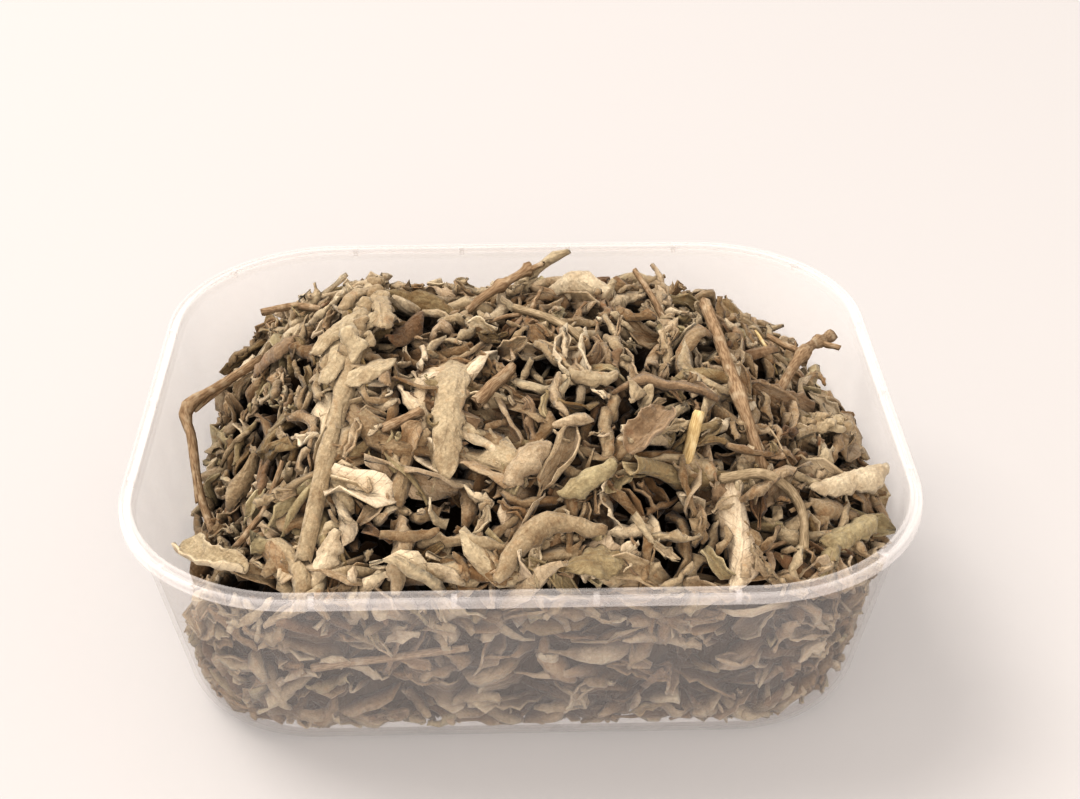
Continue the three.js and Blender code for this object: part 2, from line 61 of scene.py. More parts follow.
# The studio
# A pale seamless table of matte paper that glows a little, under a large soft window of light from the upper
# left, behind the tub. A weak light in front and a pale room all round fill the shadows.
MM = 0.001
FLOOR_REACH = 3.0
FLOOR_COLOUR = (0.34, 0.326, 0.319, 1)
FLOOR_GLOW = (0.226, 0.219, 0.216, 1)
MOTTLE_DEPTH = 0.985
ROOM_COLOUR = (1.0, 0.95, 0.91, 1)
ROOM_STRENGTH = 0.7
VIEW_EXPOSURE = 0.56
VIEW_GAMMA = 0.66
LIGHTS = {
    # name: place, size, power, colour
    "window": ((-1.5, 0.9, 2.5), 1.5, 56, (1.0, 0.98, 0.95)),
    "front_fill": ((0.1, -1.5, 0.9), 1.0, 11, (1.0, 0.94, 0.89)),
}


class Shade:
    """One shader value, or just its tree. Arithmetic on it adds the Math nodes."""

    def __init__(self, tree, socket=None):
        self.tree = tree
        self.socket = socket

    def node(self, kind, settings, inputs, output=0):
        made = self.tree.nodes.new(kind)
        for name, value in settings.items():
            setattr(made, name, value)
        for name, value in inputs.items():
            if isinstance(value, Shade):
                self.tree.links.new(value.socket, made.inputs[name])
            else:
                made.inputs[name].default_value = value
        return Shade(self.tree, made.outputs[output])

    def math(self, operation, first, second=0.0):
        return self.node("ShaderNodeMath", {"operation": operation}, {0: first, 1: second})

    def __add__(self, other):
        return self.math("ADD", self, other)

    def __sub__(self, other):
        return self.math("SUBTRACT", self, other)

    def __rsub__(self, other):
        return self.math("SUBTRACT", other, self)

    def __mul__(self, other):
        return self.math("MULTIPLY", self, other)

    __radd__ = __add__
    __rmul__ = __mul__

    def noise(self, place, scale, detail, **more):
        inputs = {"Vector": place, "Scale": scale, "Detail": detail, **more}
        return self.node("ShaderNodeTexNoise", {}, inputs)

    def relief(self, distance=MM, strength=1.0):
        """This height as a bump of the surface, in so many metres."""
        return self.node("ShaderNodeBump", {}, {"Height": self, "Distance": distance, "Strength": strength})

    def mark(self, name, output=1):
        """A value that each point of the mesh carries under this name."""
        return self.node("ShaderNodeAttribute", {"attribute_name": name}, {}, output)

    def part(self, axis):
        """One of the three numbers of a place."""
        return self.node("ShaderNodeSeparateXYZ", {}, {0: self}, axis)

    def absolute(self):
        return self.math("ABSOLUTE", self)

    def sine(self):
        return self.math("SINE", self)

    def step_from(self, low, high):
        """0 below low, 1 above high, and smooth between them."""
        settings = {"interpolation_type": "SMOOTHSTEP"}
        return self.node("ShaderNodeMapRange", settings, {"Value": self, "From Min": low, "From Max": high})

    def mix(self, first, second):
        """The first colour where this value is 0, and the second where it is 1."""
        settings = {"data_type": "RGBA", "clamp_factor": True}
        return self.node("ShaderNodeMix", settings, {0: self, 6: first, 7: second}, output=2)


def new_finish(name):
    """An empty material, its tree and its Principled shader's inputs."""
    material = bpy.data.materials.new(name)
    material.use_nodes = True
    shader = material.node_tree.nodes["Principled BSDF"]
    return material, Shade(material.node_tree), shader.inputs


def join(value, socket):
    value.tree.links.new(value.socket, socket)


def opaque(colours):
    return [(*colour, 1) for colour in colours]


def floor_finish():
    material, tree, surface = new_finish("matte_white_paper")
    place = tree.node("ShaderNodeTexCoord", {}, {}, output=3)
    mottle = tree.noise(place, 2.5, 3.0)
    surface["Roughness"].default_value = 0.75
    surface["Specular IOR Level"].default_value = 0.2
    surface["Emission Color"].default_value = FLOOR_GLOW
    surface["Emission Strength"].default_value = 1.0
    darker = [share * MOTTLE_DEPTH for share in FLOOR_COLOUR[:3]] + [1]
    join(mottle.mix(FLOOR_COLOUR, darker), surface["Base Color"])
    return material


def make_floor():
    corners = [(-FLOOR_REACH, -FLOOR_REACH, 0), (FLOOR_REACH, -FLOOR_REACH, 0)]
    corners += [(FLOOR_REACH, FLOOR_REACH, 0), (-FLOOR_REACH, FLOOR_REACH, 0)]
    mesh = bpy.data.meshes.new("floor")
    mesh.from_pydata(corners, [], [(0, 1, 2, 3)])
    mesh.materials.append(floor_finish())
    floor = bpy.data.objects.new("floor", mesh)
    bpy.context.scene.collection.objects.link(floor)


def soft_light(name, place, size, power, colour):
    data = bpy.data.lights.new(name, "AREA")
    data.shape = "DISK"
    data.size = size
    data.energy = power
    data.color = colour
    light = bpy.data.objects.new(name, data)
    light.location = place
    aim = -light.location
    light.rotation_euler = aim.to_track_quat("-Z", "Y").to_euler()
    bpy.context.scene.collection.objects.link(light)


make_floor()
for name, settings in LIGHTS.items():
    soft_light(name, *settings)

world = bpy.data.worlds.new("pale_room")
world.use_nodes = True
world.node_tree.nodes["Background"].inputs["Color"].default_value = ROOM_COLOUR
world.node_tree.nodes["Background"].inputs["Strength"].default_value = ROOM_STRENGTH
bpy.context.scene.world = world
bpy.context.scene.view_settings.view_transform = "Standard"
bpy.context.scene.view_settings.exposure = VIEW_EXPOSURE
bpy.context.scene.view_settings.gamma = VIEW_GAMMA


# The tub
# One thin moulding of milky polypropylene: a flat base, tapering walls with wide round corners, and a rim
# with an outer skirt, a shallow groove and an inner bead. Small ribs cross the groove.
RIM_HALF_LENGTH = 87.5
RIM_HALF_DEPTH = 77.5
RIM_CORNER_RADIUS = 41
TUB_HEIGHT = 50
WALL = 1
WALL_LEAN = 10
RIM_WIDTH = 3
BASE_FILLET = 6
CORNER_STEPS = 18
EDGE_RADIUS = 0.25
SHARP_EDGE = math.radians(50)
RIB_WIDTH = 1.2
RIB_ALONG_LENGTH = (-43, -14.3, 14.3, 43)
RIB_ALONG_DEPTH = (-32.7, 0, 32.7)
MILKY_WHITE = (0.86, 0.835, 0.825, 1)
# how much of what lies behind it the plastic hides: all over, in cloudy parts, at the rim and at the foot
WALL_COVER, CLOUD_COVER, RIM_COVER, FOOT_COVER = 0.135, 0.04, 0.08, 0.12


def outline(side, z):
    """The tub's level outline, set in by side from the rim's outer edge, anticlockwise from above."""
    radius = RIM_CORNER_RADIUS - side + (1 - z / TUB_HEIGHT)
    centre_x = RIM_HALF_LENGTH - side - radius
    centre_y = RIM_HALF_DEPTH - side - radius
    points = []
    for corner, (sign_x, sign_y) in enumerate(((1, -1), (1, 1), (-1, 1), (-1, -1))):
        for step in range(CORNER_STEPS + 1):
            angle = (corner - 1 + step / CORNER_STEPS) * math.pi / 2
            x = sign_x * centre_x + radius * math.cos(angle)
            y = sign_y * centre_y + radius * math.sin(angle)
            points.append((x, y, z))
    return points


def wall_side(z, inset=0):
    """How far the wall's inner face is in from the rim's outer edge at a height."""
    return RIM_WIDTH + WALL_LEAN * (1 - z / TUB_HEIGHT) + inset


def fillet_profile(inset, floor, fillet):
    """The round foot of a wall, from the flat base up, as sides and heights."""
    steps = 8
    profile = []
    for step in range(steps + 1):
        angle = step / steps * math.pi / 2
        z = floor + fillet * (1 - math.cos(angle))
        profile.append((wall_side(z, inset + fillet * (1 - math.sin(angle))), z))
    return profile


def softened(profile, radius):
    """The same profile with each corner cut to a small round."""
    soft = [profile[0]]
    for before, corner, after in zip(profile, profile[1:], profile[2:]):
        corner = np.array(corner)
        arms = [np.array(before) - corner, np.array(after) - corner]
        reach = [min(radius / np.linalg.norm(arm), 0.4) for arm in arms]
        start = corner + arms[0] * reach[0]
        end = corner + arms[1] * reach[1]
        soft += [tuple(start), tuple((start + end + 2 * corner) / 4), tuple(end)]
    return soft + [profile[-1]]


def lofted_faces(rings, count, closed_ends=True):
    faces = []
    for level in range(rings - 1):
        for i in range(count):
            near = level * count + i
            next_near = level * count + (i + 1) % count
            faces.append((near, next_near, next_near + count, near + count))
    if closed_ends:
        faces.append(tuple(range(count - 1, -1, -1)))
        faces.append(tuple(range((rings - 1) * count, rings * count)))
    return faces


def add_piece(name, points, faces, finish, nodes, marks=None, sharp=None):
    """A mesh piece from points in millimetres, which stands for the CAD nodes that it replaces."""
    mesh = bpy.data.meshes.new(name)
    mesh.from_pydata((np.asarray(points, float) * MM).tolist(), [], faces)
    mesh.shade_smooth()
    if sharp is not None:
        mesh.set_sharp_from_angle(angle=sharp)
    for mark, values in (marks or {}).items():
        kind, field = ("FLOAT", "value") if values.ndim == 1 else ("FLOAT_VECTOR", "vector")
        layer = mesh.attributes.new(mark, kind, "POINT")
        layer.data.foreach_set(field, np.asarray(values, np.float32).ravel())
    mesh.materials.append(finish)
    piece = bpy.data.objects.new(name, mesh)
    bpy.context.scene.collection.objects.link(piece)
    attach(piece, "root")
    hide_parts(*nodes)


def milky_plastic():
    material, tree, surface = new_finish("milky_plastic")
    place = tree.node("ShaderNodeTexCoord", {}, {}, output=3)
    cloud = tree.noise(place, 60.0, 3.0)
    orange_peel = tree.noise(place, 900.0, 1.0)
    height = place.part(2)
    foot = 1 - height.step_from(0.0005, 0.002)
    thick = height.step_from(0.0466, 0.0474) * RIM_COVER + foot * FOOT_COVER
    surface["Base Color"].default_value = MILKY_WHITE
    surface["IOR"].default_value = 1.49
    join(cloud.step_from(0.3, 0.8) * 0.08 + 0.3, surface["Roughness"])
    join(cloud.step_from(0.2, 0.9) * CLOUD_COVER + WALL_COVER + thick, surface["Alpha"])
    join(orange_peel.relief(0.02 * MM, 0.5), surface["Normal"])
    return material


def make_tub():
    flange_underside = TUB_HEIGHT - 1.8
    skirt_bottom = TUB_HEIGHT - 2.8
    groove_floor = TUB_HEIGHT - 0.9
    lip_top = TUB_HEIGHT - 0.3
    rim = [
        (wall_side(flange_underside, -WALL), flange_underside),
        (0.8, flange_underside),
        (0.8, skirt_bottom),
        (0, skirt_bottom),
        (0, lip_top - 0.4),
        (0.4, lip_top),
        (0.9, lip_top),
        (1.1, groove_floor),
        (1.9, groove_floor),
        (2.1, TUB_HEIGHT),
        (2.8, TUB_HEIGHT),
        (wall_side(lip_top), lip_top),
    ]
    outside = fillet_profile(-WALL, 0, BASE_FILLET)
    inside = fillet_profile(0, WALL, BASE_FILLET - WALL)[::-1]
    profile = outside + softened([outside[-1], *rim, inside[0]], EDGE_RADIUS)[1:-1] + inside
    points = [point for side, z in profile for point in outline(side, z)]
    faces = lofted_faces(len(profile), 4 * (CORNER_STEPS + 1))
    finish = milky_plastic()
    add_piece("milky_tub", points, faces, finish, ["tub"], sharp=SHARP_EDGE)

    # The ribs: small rounded bars that bridge the groove from lip to bead and run down behind the skirt.
    bar = [(0.8, -1.7), (0.8, 0.4), (0.45, 0.55), (-0.45, 0.55), (-0.8, 0.4), (-0.8, -1.7)]
    reach = (RIM_CORNER_RADIUS - RIM_WIDTH / 2) * math.sqrt(0.5)
    corner_x = RIM_HALF_LENGTH - RIM_CORNER_RADIUS + reach
    corner_y = RIM_HALF_DEPTH - RIM_CORNER_RADIUS + reach
    places = []
    for sign in (-1, 1):
        places += [(x, sign * (RIM_HALF_DEPTH - RIM_WIDTH / 2), 0) for x in RIB_ALONG_LENGTH]
        places += [(sign * (RIM_HALF_LENGTH - RIM_WIDTH / 2), y, math.pi / 2) for y in RIB_ALONG_DEPTH]
        places += [(sign * corner_x, -corner_y, sign * math.pi / 4)]
        places += [(sign * corner_x, corner_y, -sign * math.pi / 4)]
    points = []
    faces = []
    for x, y, turn in places:
        base = len(points)
        for across in (-RIB_WIDTH / 2, RIB_WIDTH / 2):
            for along, height in bar:
                points.append((
                    x + across * math.cos(turn) - along * math.sin(turn),
                    y + across * math.sin(turn) + along * math.cos(turn),
                    groove_floor - 0.05 + height,
                ))
        faces += [tuple(base + i for i in face) for face in lofted_faces(2, len(bar))]
    add_piece("rim_ribs", points, faces, finish, ["tub"], sharp=SHARP_EDGE)


make_tub()


# Dried sage leaves
# Each leaf is a thin felted blade that curled as it dried: most have both margins rolled under along the
# midrib, and others are folded, cupped or hooked. The upper face is finely pebbled, the lower one woolly with
# raised veins.
LEAF_THICKNESS = 0.5
rng = np.random.default_rng(11)


def unit(vector):
    return vector / np.maximum(np.linalg.norm(vector, axis=-1, keepdims=True), 1e-9)


def blade(spine, side, up, half, curl, gather, crumple, columns):
    """The points of a closed leaf blade, and each point's place on the flat leaf.

    half is the half width at each row, curl the turn of each margin, and gather how much of that turn
    sits at the margins rather than at the midrib.
    """
    rows = len(spine)
    reach = columns // 2
    steps = np.linalg.norm(np.diff(spine, axis=0), axis=1)
    along = np.concatenate([[0], np.cumsum(steps)])[:, None]
    middles = ((np.arange(reach) + 0.5) / reach)[None]
    edges = (np.arange(1, reach + 1) / reach)[None]
    strip = half[:, None] / reach
    mids = {}
    for hand, turn in ((-1, curl[0]), (1, curl[1])):
        angle = turn[:, None] * middles ** gather
        out = np.cumsum(strip * np.cos(angle), axis=1)
        down = np.cumsum(strip * np.sin(angle), axis=1)
        edge_angle = (turn[:, None] * edges ** gather)[..., None]
        place = spine[:, None] + hand * side[:, None] * out[..., None] - up[:, None] * down[..., None]
        facing = hand * side[:, None] * np.sin(edge_angle) + up[:, None] * np.cos(edge_angle)
        mids[hand] = (place, facing)
    middle = np.concatenate([mids[-1][0][:, ::-1], spine[:, None], mids[1][0]], axis=1)
    facing = np.concatenate([mids[-1][1][:, ::-1], up[:, None], mids[1][1]], axis=1)
    across = np.linspace(-1, 1, columns)[None]
    flat = across * half[:, None]
    phase = rng.uniform(0, 6.28, 5)
    pace = rng.uniform(0.8, 1.5, 5)
    lumps = np.sin(pace[0] * along + 0.9 * flat + phase[0])
    lumps = lumps + 0.7 * np.sin(1.7 * pace[1] * along - 1.3 * flat + phase[1])
    lumps = lumps + 0.5 * np.sin(2.9 * pace[2] * along + 2.1 * flat + phase[2])
    ruffle = np.sin(1.3 * pace[3] * along + phase[3] + across * 2) * across ** 2
    pleat = np.abs(np.sin(1.1 * pace[4] * flat + 0.25 * along + phase[4])) - 0.6
    shift = crumple * (0.55 * lumps + 1.3 * ruffle + 0.6 * pleat)
    middle = middle + facing * shift[..., None]
    upper = middle + facing * LEAF_THICKNESS / 2
    lower = middle - facing * LEAF_THICKNESS / 2
    points = np.concatenate([upper.reshape(-1, 3), lower.reshape(-1, 3)])
    flat_place = np.stack([np.broadcast_to(along, flat.shape), flat, np.zeros_like(flat)], -1).reshape(-1, 3)
    under = flat_place + (0, 0, 1)
    return points, np.concatenate([flat_place, under])


def blade_faces(rows, columns):
    """Faces of a closed blade: its upper side, its lower side and the strip round the edge."""
    index = np.arange(rows * columns).reshape(rows, columns)
    low = index + rows * columns
    quads = [
        (index[:-1, :-1], index[1:, :-1], index[1:, 1:], index[:-1, 1:]),
        (low[:-1, :-1], low[:-1, 1:], low[1:, 1:], low[1:, :-1]),
        (index[:-1, 0], low[:-1, 0], low[1:, 0], index[1:, 0]),
        (index[:-1, -1], index[1:, -1], low[1:, -1], low[:-1, -1]),
        (index[0, :-1], index[0, 1:], low[0, 1:], low[0, :-1]),
        (index[-1, :-1], low[-1, :-1], low[-1, 1:], index[-1, 1:]),
    ]
    return np.concatenate([np.stack(corners, -1).reshape(-1, 4) for corners in quads])


def smooth_noise(rows, strength):
    """A gentle random change from row to row."""
    knots = rng.uniform(-strength, strength, 5)
    return np.interp(np.linspace(0, 4, rows), np.arange(5), knots)


def leaf_outline(rows, width, blunt=0.0):
    """Half widths from the stalk to the tip of a long oval leaf. A blunt one is torn off before its tip."""
    place = np.linspace(0.015, 0.985 - 0.35 * blunt, rows)
    shape = place ** 0.55 * (1 - place) ** 0.45
    ragged = 1 + rng.uniform(-1.5, 1.5, rows) / rows
    pinched = 1 + smooth_noise(rows, 0.3)
    return np.maximum(width / 2 * shape / shape.max() * ragged * pinched, 0.4)


LEAF_FORMS = {
    # form: share, turn of the margins (two ranges), gather, bend along the leaf
    "rolled": (0.46, (2.0, 3.0), (2.0, 3.0), (0.9, 1.6), 0.9),
    "folded": (0.17, (0.9, 1.4), (0.9, 1.4), (0.1, 0.3), 0.8),
    "cupped": (0.13, (-1.9, -0.9), (-1.9, -0.9), (0.8, 1.3), 1.0),
    "open": (0.05, (0.3, 1.1), (0.3, 1.1), (1.0, 2.0), 0.8),
    "lapped": (0.19, (0.8, 1.4), (2.4, 3.4), (0.8, 1.5), 1.3),
}


def random_leaf(length, width, rows, columns, hooked=1.0):
    """A loose leaf round the origin, along +X and facing +Z."""
    names = list(LEAF_FORMS)
    form = LEAF_FORMS[rng.choice(names, p=[LEAF_FORMS[name][0] for name in names])]
    _, left, right, gather, bend = form
    share = np.linspace(0, 1, rows)
    pitch = rng.normal(0, bend * 0.7 * hooked) * (share - 0.5) + smooth_noise(rows, 0.35)
    pitch = pitch + rng.normal(0, 0.45) * (share > rng.uniform(0.2, 0.8))
    yaw = rng.normal(0, 0.5 * hooked) * (share - 0.5) + smooth_noise(rows, 0.25)
    forward = np.stack([np.cos(pitch) * np.cos(yaw), np.cos(pitch) * np.sin(yaw), np.sin(pitch)], -1)
    spine = np.cumsum(forward * length / rows, axis=0)
    spine = spine - spine.mean(0)
    side = unit(np.cross((0, 0, 1), forward))
    up = np.cross(forward, side)
    roll = (rng.normal(0, 1.3) * (share - 0.5) + smooth_noise(rows, 0.4))[:, None]
    side, up = side * np.cos(roll) + up * np.sin(roll), up * np.cos(roll) - side * np.sin(roll)
    half = leaf_outline(rows, width, blunt=rng.random() if rng.random() < 0.3 else 0)
    if rng.random() < 0.5:
        stalk = share < rng.uniform(0.1, 0.35)
        half = np.where(stalk, 0.5, half)
    turns = [rng.uniform(*left) + smooth_noise(rows, 0.5), rng.uniform(*right) + smooth_noise(rows, 0.5)]
    if rng.random() < 0.5:
        turns.reverse()
    crumple = rng.uniform(0.15, 0.42)
    return blade(spine, side, up, half, turns, rng.uniform(*gather), crumple, columns)


# The heap
# Thousands of loose leaves, tipped into the tub and heaped above its rim: highest in the middle, steep at the
# sides and lower at the back. They lie at every angle on the leaves under them, with deep gaps between them.
# heights in millimetres: of the flat top, and where the heap meets each wall
HEAP_TOP = 73
HEAP_MEET_FRONT = 46
HEAP_MEET_BACK = 32
HEAP_MEET_RIGHT = 41
HEAP_MEET_LEFT = 32
SKIN_DEPTH = 18
TUB_FLOOR = 2
HOLLOWS = 110
HOLLOW_RADIUS = (3, 6)
HOLLOW_DEPTH = (3, 6.5)
OPEN_SKY = 200.0
GRID_HALF = (90, 80)
WALL_GAP = 0.5


def heap_height(x, y):
    left = np.less(x, 0)
    across_x = np.abs(x) / (RIM_HALF_LENGTH - np.where(left, 16.5 - 0.12 * y, 8))
    across_y = np.abs(y) / (RIM_HALF_DEPTH - 2.5)
    reach = (across_x ** 4 + across_y ** 4) ** 0.25
    side_share = across_x ** 4 / (across_x ** 4 + across_y ** 4 + 1e-9)
    behind = np.clip(y + 20, 0, 50)
    at_side = np.where(left, HEAP_MEET_LEFT - 0.1 * behind, HEAP_MEET_RIGHT - 0.27 * behind)
    at_end = np.where(y < 0, HEAP_MEET_FRONT, HEAP_MEET_BACK)
    slope_end = np.where(y < 0, 0.8, 0.75)
    slope = slope_end + (np.where(left, 1.6, 1.05) - slope_end) * side_share
    from_wall = at_end + (at_side - at_end) * side_share + slope * (1 - reach) * 75
    back_slope = 51 + 0.6 * (44 - y)
    knoll = 3 * np.exp(-((x - 12) ** 2 + (y - 8) ** 2) / 300)
    corner_knot = 16 * np.exp(-((x + 63) ** 2 + (y + 58) ** 2) / 180)
    total = sum(np.exp(-height / 4) for height in (HEAP_TOP + knoll, from_wall, back_slope))
    return corner_knot - 4 * np.log(total)


def on_heap(x, y, lift):
    return np.array([x, y, float(heap_height(x, y)) + lift])


def heap_normal(x, y):
    slope_x = heap_height(x + 1, y) - heap_height(x - 1, y)
    slope_y = heap_height(x, y + 1) - heap_height(x, y - 1)
    return unit(np.array([-slope_x / 2, -slope_y / 2, 1.0]))


def past_room(points):
    """How far each point is outside the room for leaves, and the way back in."""
    z = points[:, 2]
    inside = z < TUB_HEIGHT + 0.5
    foot_radius = BASE_FILLET - WALL
    foot = np.clip(1 - (z - WALL) / foot_radius, 0, 1)
    foot_inset = foot_radius * (1 - np.sqrt(1 - foot ** 2))
    side = np.where(inside, wall_side(np.minimum(z, TUB_HEIGHT), foot_inset), RIM_WIDTH / 2) + WALL_GAP
    radius = RIM_CORNER_RADIUS - side
    corner = np.stack([RIM_HALF_LENGTH - side - radius, RIM_HALF_DEPTH - side - radius], -1)
    over = np.abs(points[:, :2]) - corner
    beyond = np.maximum(over, 0)
    distance = np.linalg.norm(beyond, axis=1) + np.minimum(over.max(1), 0) - radius
    outward = np.where((over > 0).any(1)[:, None], beyond, over == over.max(1)[:, None])
    return distance, -np.sign(points[:, :2]) * unit(outward.astype(float))


def keep_inside(points):
    """Moves a leaf in from the wall as a whole, and then presses what still sticks out against the wall."""
    for _ in range(3):
        distance, inward = past_room(points)
        worst = distance.argmax()
        if distance[worst] <= 0:
            return points
        points = points + np.append(inward[worst] * distance[worst], 0)
    distance, inward = past_room(points)
    push = np.maximum(distance, 0)[:, None] * inward
    return points + np.concatenate([push, np.zeros((len(points), 1))], 1)


# Three height fields with a point every millimetre: where the heap's surface should be, how high the leaves
# already lie, and what they have to stay under.
grid_x, grid_y = np.meshgrid(*[np.arange(-half, half + 1.0) for half in GRID_HALF], indexing="ij")
target = heap_height(grid_x, grid_y)
for _ in range(HOLLOWS):
    hollow_x = rng.uniform(-70, 75)
    hollow_y = rng.uniform(-66, 60)
    away = ((grid_x - hollow_x) ** 2 + (grid_y - hollow_y) ** 2) / rng.uniform(*HOLLOW_RADIUS) ** 2
    target -= rng.uniform(*HOLLOW_DEPTH) * np.exp(-away)
pile = np.maximum(target - SKIN_DEPTH, TUB_FLOOR)
ceiling = np.full_like(target, OPEN_SKY)


def cells(points):
    """The indices of the points' places in the height fields."""
    spots = []
    for axis, half in enumerate(GRID_HALF):
        spots.append(np.clip(np.round(points[:, axis]).astype(int) + half, 0, 2 * half))
    return tuple(spots)


def turned(points, normal, heading, pitch, roll):
    """A loose leaf turned so that it lies along a heading on a surface with this normal."""
    heading = unit(heading - normal * np.dot(heading, normal))
    forward = heading * math.cos(pitch) + normal * math.sin(pitch)
    up = normal * math.cos(pitch) - heading * math.sin(pitch)
    side = np.cross(up, forward)
    rolled_side = side * math.cos(roll) + up * math.sin(roll)
    rolled_up = np.cross(forward, rolled_side)
    return points @ np.stack([forward, rolled_side, rolled_up])


# how far most leaves, then bits and crumbs, then shoot tips and a few leaves may stand over the surface
LYING, UPRIGHT, STICKING_OUT = 3.0, 5.0, 6.0
# the percentiles of a leaf's points that rest on the pile, that keep under the single pieces, and that tell
# how far it stands over the surface
SUNK_SHARE, PRESSED_SHARE, PROUD_SHARE = 93, 6, 85


def settle(points, proud):
    """Lowers a leaf until it lies on the pile and under the single pieces. None if it stands too proud."""
    points = keep_inside(points)
    spot = cells(points)
    rest = np.percentile(pile[spot] - points[:, 2], SUNK_SHARE)
    room = np.percentile(ceiling[spot] - points[:, 2], PRESSED_SHARE)
    points = points + (0, 0, min(rest, room))
    points = keep_inside(points)
    spot = cells(points)
    if np.percentile(points[:, 2] - target[spot], PROUD_SHARE) > proud:
        return None
    np.maximum.at(pile, spot, points[:, 2])
    return points


MOST_FACES = 75000
# how deep under the blurred top of the pile a leaf's painted shade is full, and how far the blur reaches
FULL_SHADE_DEPTH = 6.5
SKYLINE_REACH = 4.5


def painted_gap_shade(points):
    """Painted shade: 0 where a point lies open, up to 1 deep among its neighbours or far in from the wall."""
    reach = np.arange(-9, 10)
    weights = np.exp(-(reach / SKYLINE_REACH) ** 2)
    weights = weights / weights.sum()
    skyline = pile
    for axis in (0, 1):
        skyline = np.apply_along_axis(np.convolve, axis, skyline, weights, "same")
    under_sky = skyline[cells(points)] + 0.5 - points[:, 2]
    from_wall = 1.5 * (-past_room(points)[0] - WALL_GAP)
    return np.clip(np.minimum(under_sky, from_wall) / FULL_SHADE_DEPTH, 0, 1)


class Batch:
    """Leaves that are gathered into one mesh piece, or a few."""

    def __init__(self):
        self.points = []
        self.marks = []
        self.tints = []
        self.faces = []

    def add(self, points, place, faces, tone):
        self.points.append(points)
        self.marks.append(place)
        self.tints.append(np.broadcast_to(tone, points.shape))
        self.faces.append(faces)

    def pieces(self, name, slot):
        """As few pieces as keep each of them under the most faces that one may have."""
        shares = 1 + sum(len(faces) for faces in self.faces) // MOST_FACES
        for share in range(shares):
            points = self.points[share::shares]
            starts = np.cumsum([0] + [len(part) for part in points])
            faces = [part + start for part, start in zip(self.faces[share::shares], starts)]
            points = np.concatenate(points)
            faces = np.concatenate(faces).tolist()
            marks = {"blade": np.concatenate(self.marks[share::shares])}
            marks["tint"] = np.concatenate(self.tints[share::shares])
            # painted shade for the leaves deep in the pile and far in from the walls
            marks["painted_gap_shade"] = painted_gap_shade(points)
            full_name = name if shares == 1 else f"{name}_{share + 1}"
            add_piece(full_name, points, faces, finishes[slot], ["leaf_heap"], marks)


def leaf_tone():
    """Light or dark, warm or cool, and a number of its own for each leaf."""
    return rng.random(), rng.random(), rng.uniform(0, 500)


# the leaf colour is scaled from a dark end, both the darkest random tone and painted shade, up to full light,
# and down to near-black painted shade in the deepest gaps
DARK_TONE_AND_SHADE = (0.42, 0.315, 0.23, 1)
FULL_LIGHT = (1, 0.985, 0.965, 1)
DARKEST_PAINTED_SHADE = (0.07, 0.039, 0.02, 1)
# the share of the upper side's colour left in the pits between its pebbles, as painted shade
PIT_SHADE_SHARE = 0.72


def leaf_finish(name, upper, under, vein, speck):
    """A felted leaf: finely pebbled above, woolly below with raised veins, wrinkled, with warm specks.
    Painted shade darkens its pits, its wrinkles and where it lies deep in the pile.
    """
    material, tree, surface = new_finish(name)
    # deep: the share of painted shade where the leaf lies deep in the pile or far in from the walls
    place, tint, deep = tree.mark("blade"), tree.mark("tint"), tree.mark("painted_gap_shade", 2)
    along, across = place.part(0), place.part(1)
    underside = place.part(2).step_from(0.3, 0.7)
    tone, warmth, own = (tint.part(axis) for axis in range(3))
    spot = tree.node("ShaderNodeCombineXYZ", {}, {0: along, 1: across, 2: own})
    smooth = {"feature": "SMOOTH_F1"}
    skin = tree.node("ShaderNodeTexVoronoi", smooth, {"Vector": spot, "Scale": 1.35})
    pebble = 1 - skin.step_from(0.05, 0.75)
    felt = tree.noise(spot, 3.2, 2.0, Roughness=0.7)
    broad = tree.noise(spot, 0.22, 4.0, Roughness=0.6)
    drawn = tree.node("ShaderNodeCombineXYZ", {}, {0: along * 0.15, 1: across * 0.5, 2: own})
    wrinkle = 1 - (tree.noise(drawn, 1.0, 2.0, Distortion=0.4) - 0.5).absolute().step_from(0.0, 0.12)
    midrib = 1 - across.absolute().step_from(0.12, 0.5)
    side_vein = 1 - ((along - across.absolute() * 0.9) * 1.45).sine().absolute().step_from(0.0, 0.3)
    veins = side_vein.math("MAXIMUM", midrib, side_vein * 0.5)

    # painted shade in the pits between the pebbles of the upper side
    pit_shade = [share * PIT_SHADE_SHARE for share in upper[:3]] + [1]
    face = underside.mix((pebble * 0.7 + 0.3).mix(pit_shade, upper), under)
    face = (veins * underside * 0.4).mix(face, vein)
    face = (broad.step_from(0.55, 0.75) * (warmth * 0.9 + 0.1)).mix(face, speck)
    # random tone and mottling of each leaf, with painted shade in its wrinkles and in deep gaps of the pile
    light = felt.step_from(0.3, 0.7) * 0.2 + broad.step_from(0.3, 0.6) * 0.3
    light = light + tone * 0.68 - wrinkle * 0.12 - 0.12
    shade = (light - deep * 0.5).mix(DARK_TONE_AND_SHADE, FULL_LIGHT)
    shade = deep.step_from(0.0, 1.0).mix(shade, DARKEST_PAINTED_SHADE)
    multiply = {"data_type": "RGBA", "blend_type": "MULTIPLY"}
    join(tree.node("ShaderNodeMix", multiply, {0: 1.0, 6: face, 7: shade}, 2), surface["Base Color"])
    surface["Roughness"].default_value = 0.92
    surface["Specular IOR Level"].default_value = 0.12
    surface["Sheen Weight"].default_value = 0.2
    surface["Sheen Roughness"].default_value = 0.5
    height = pebble * (0.15 - underside * 0.07) + felt * 0.16
    height = height + veins * (underside * 0.3 - 0.1) - wrinkle * 0.1
    join(height.relief(), surface["Normal"])
    return material


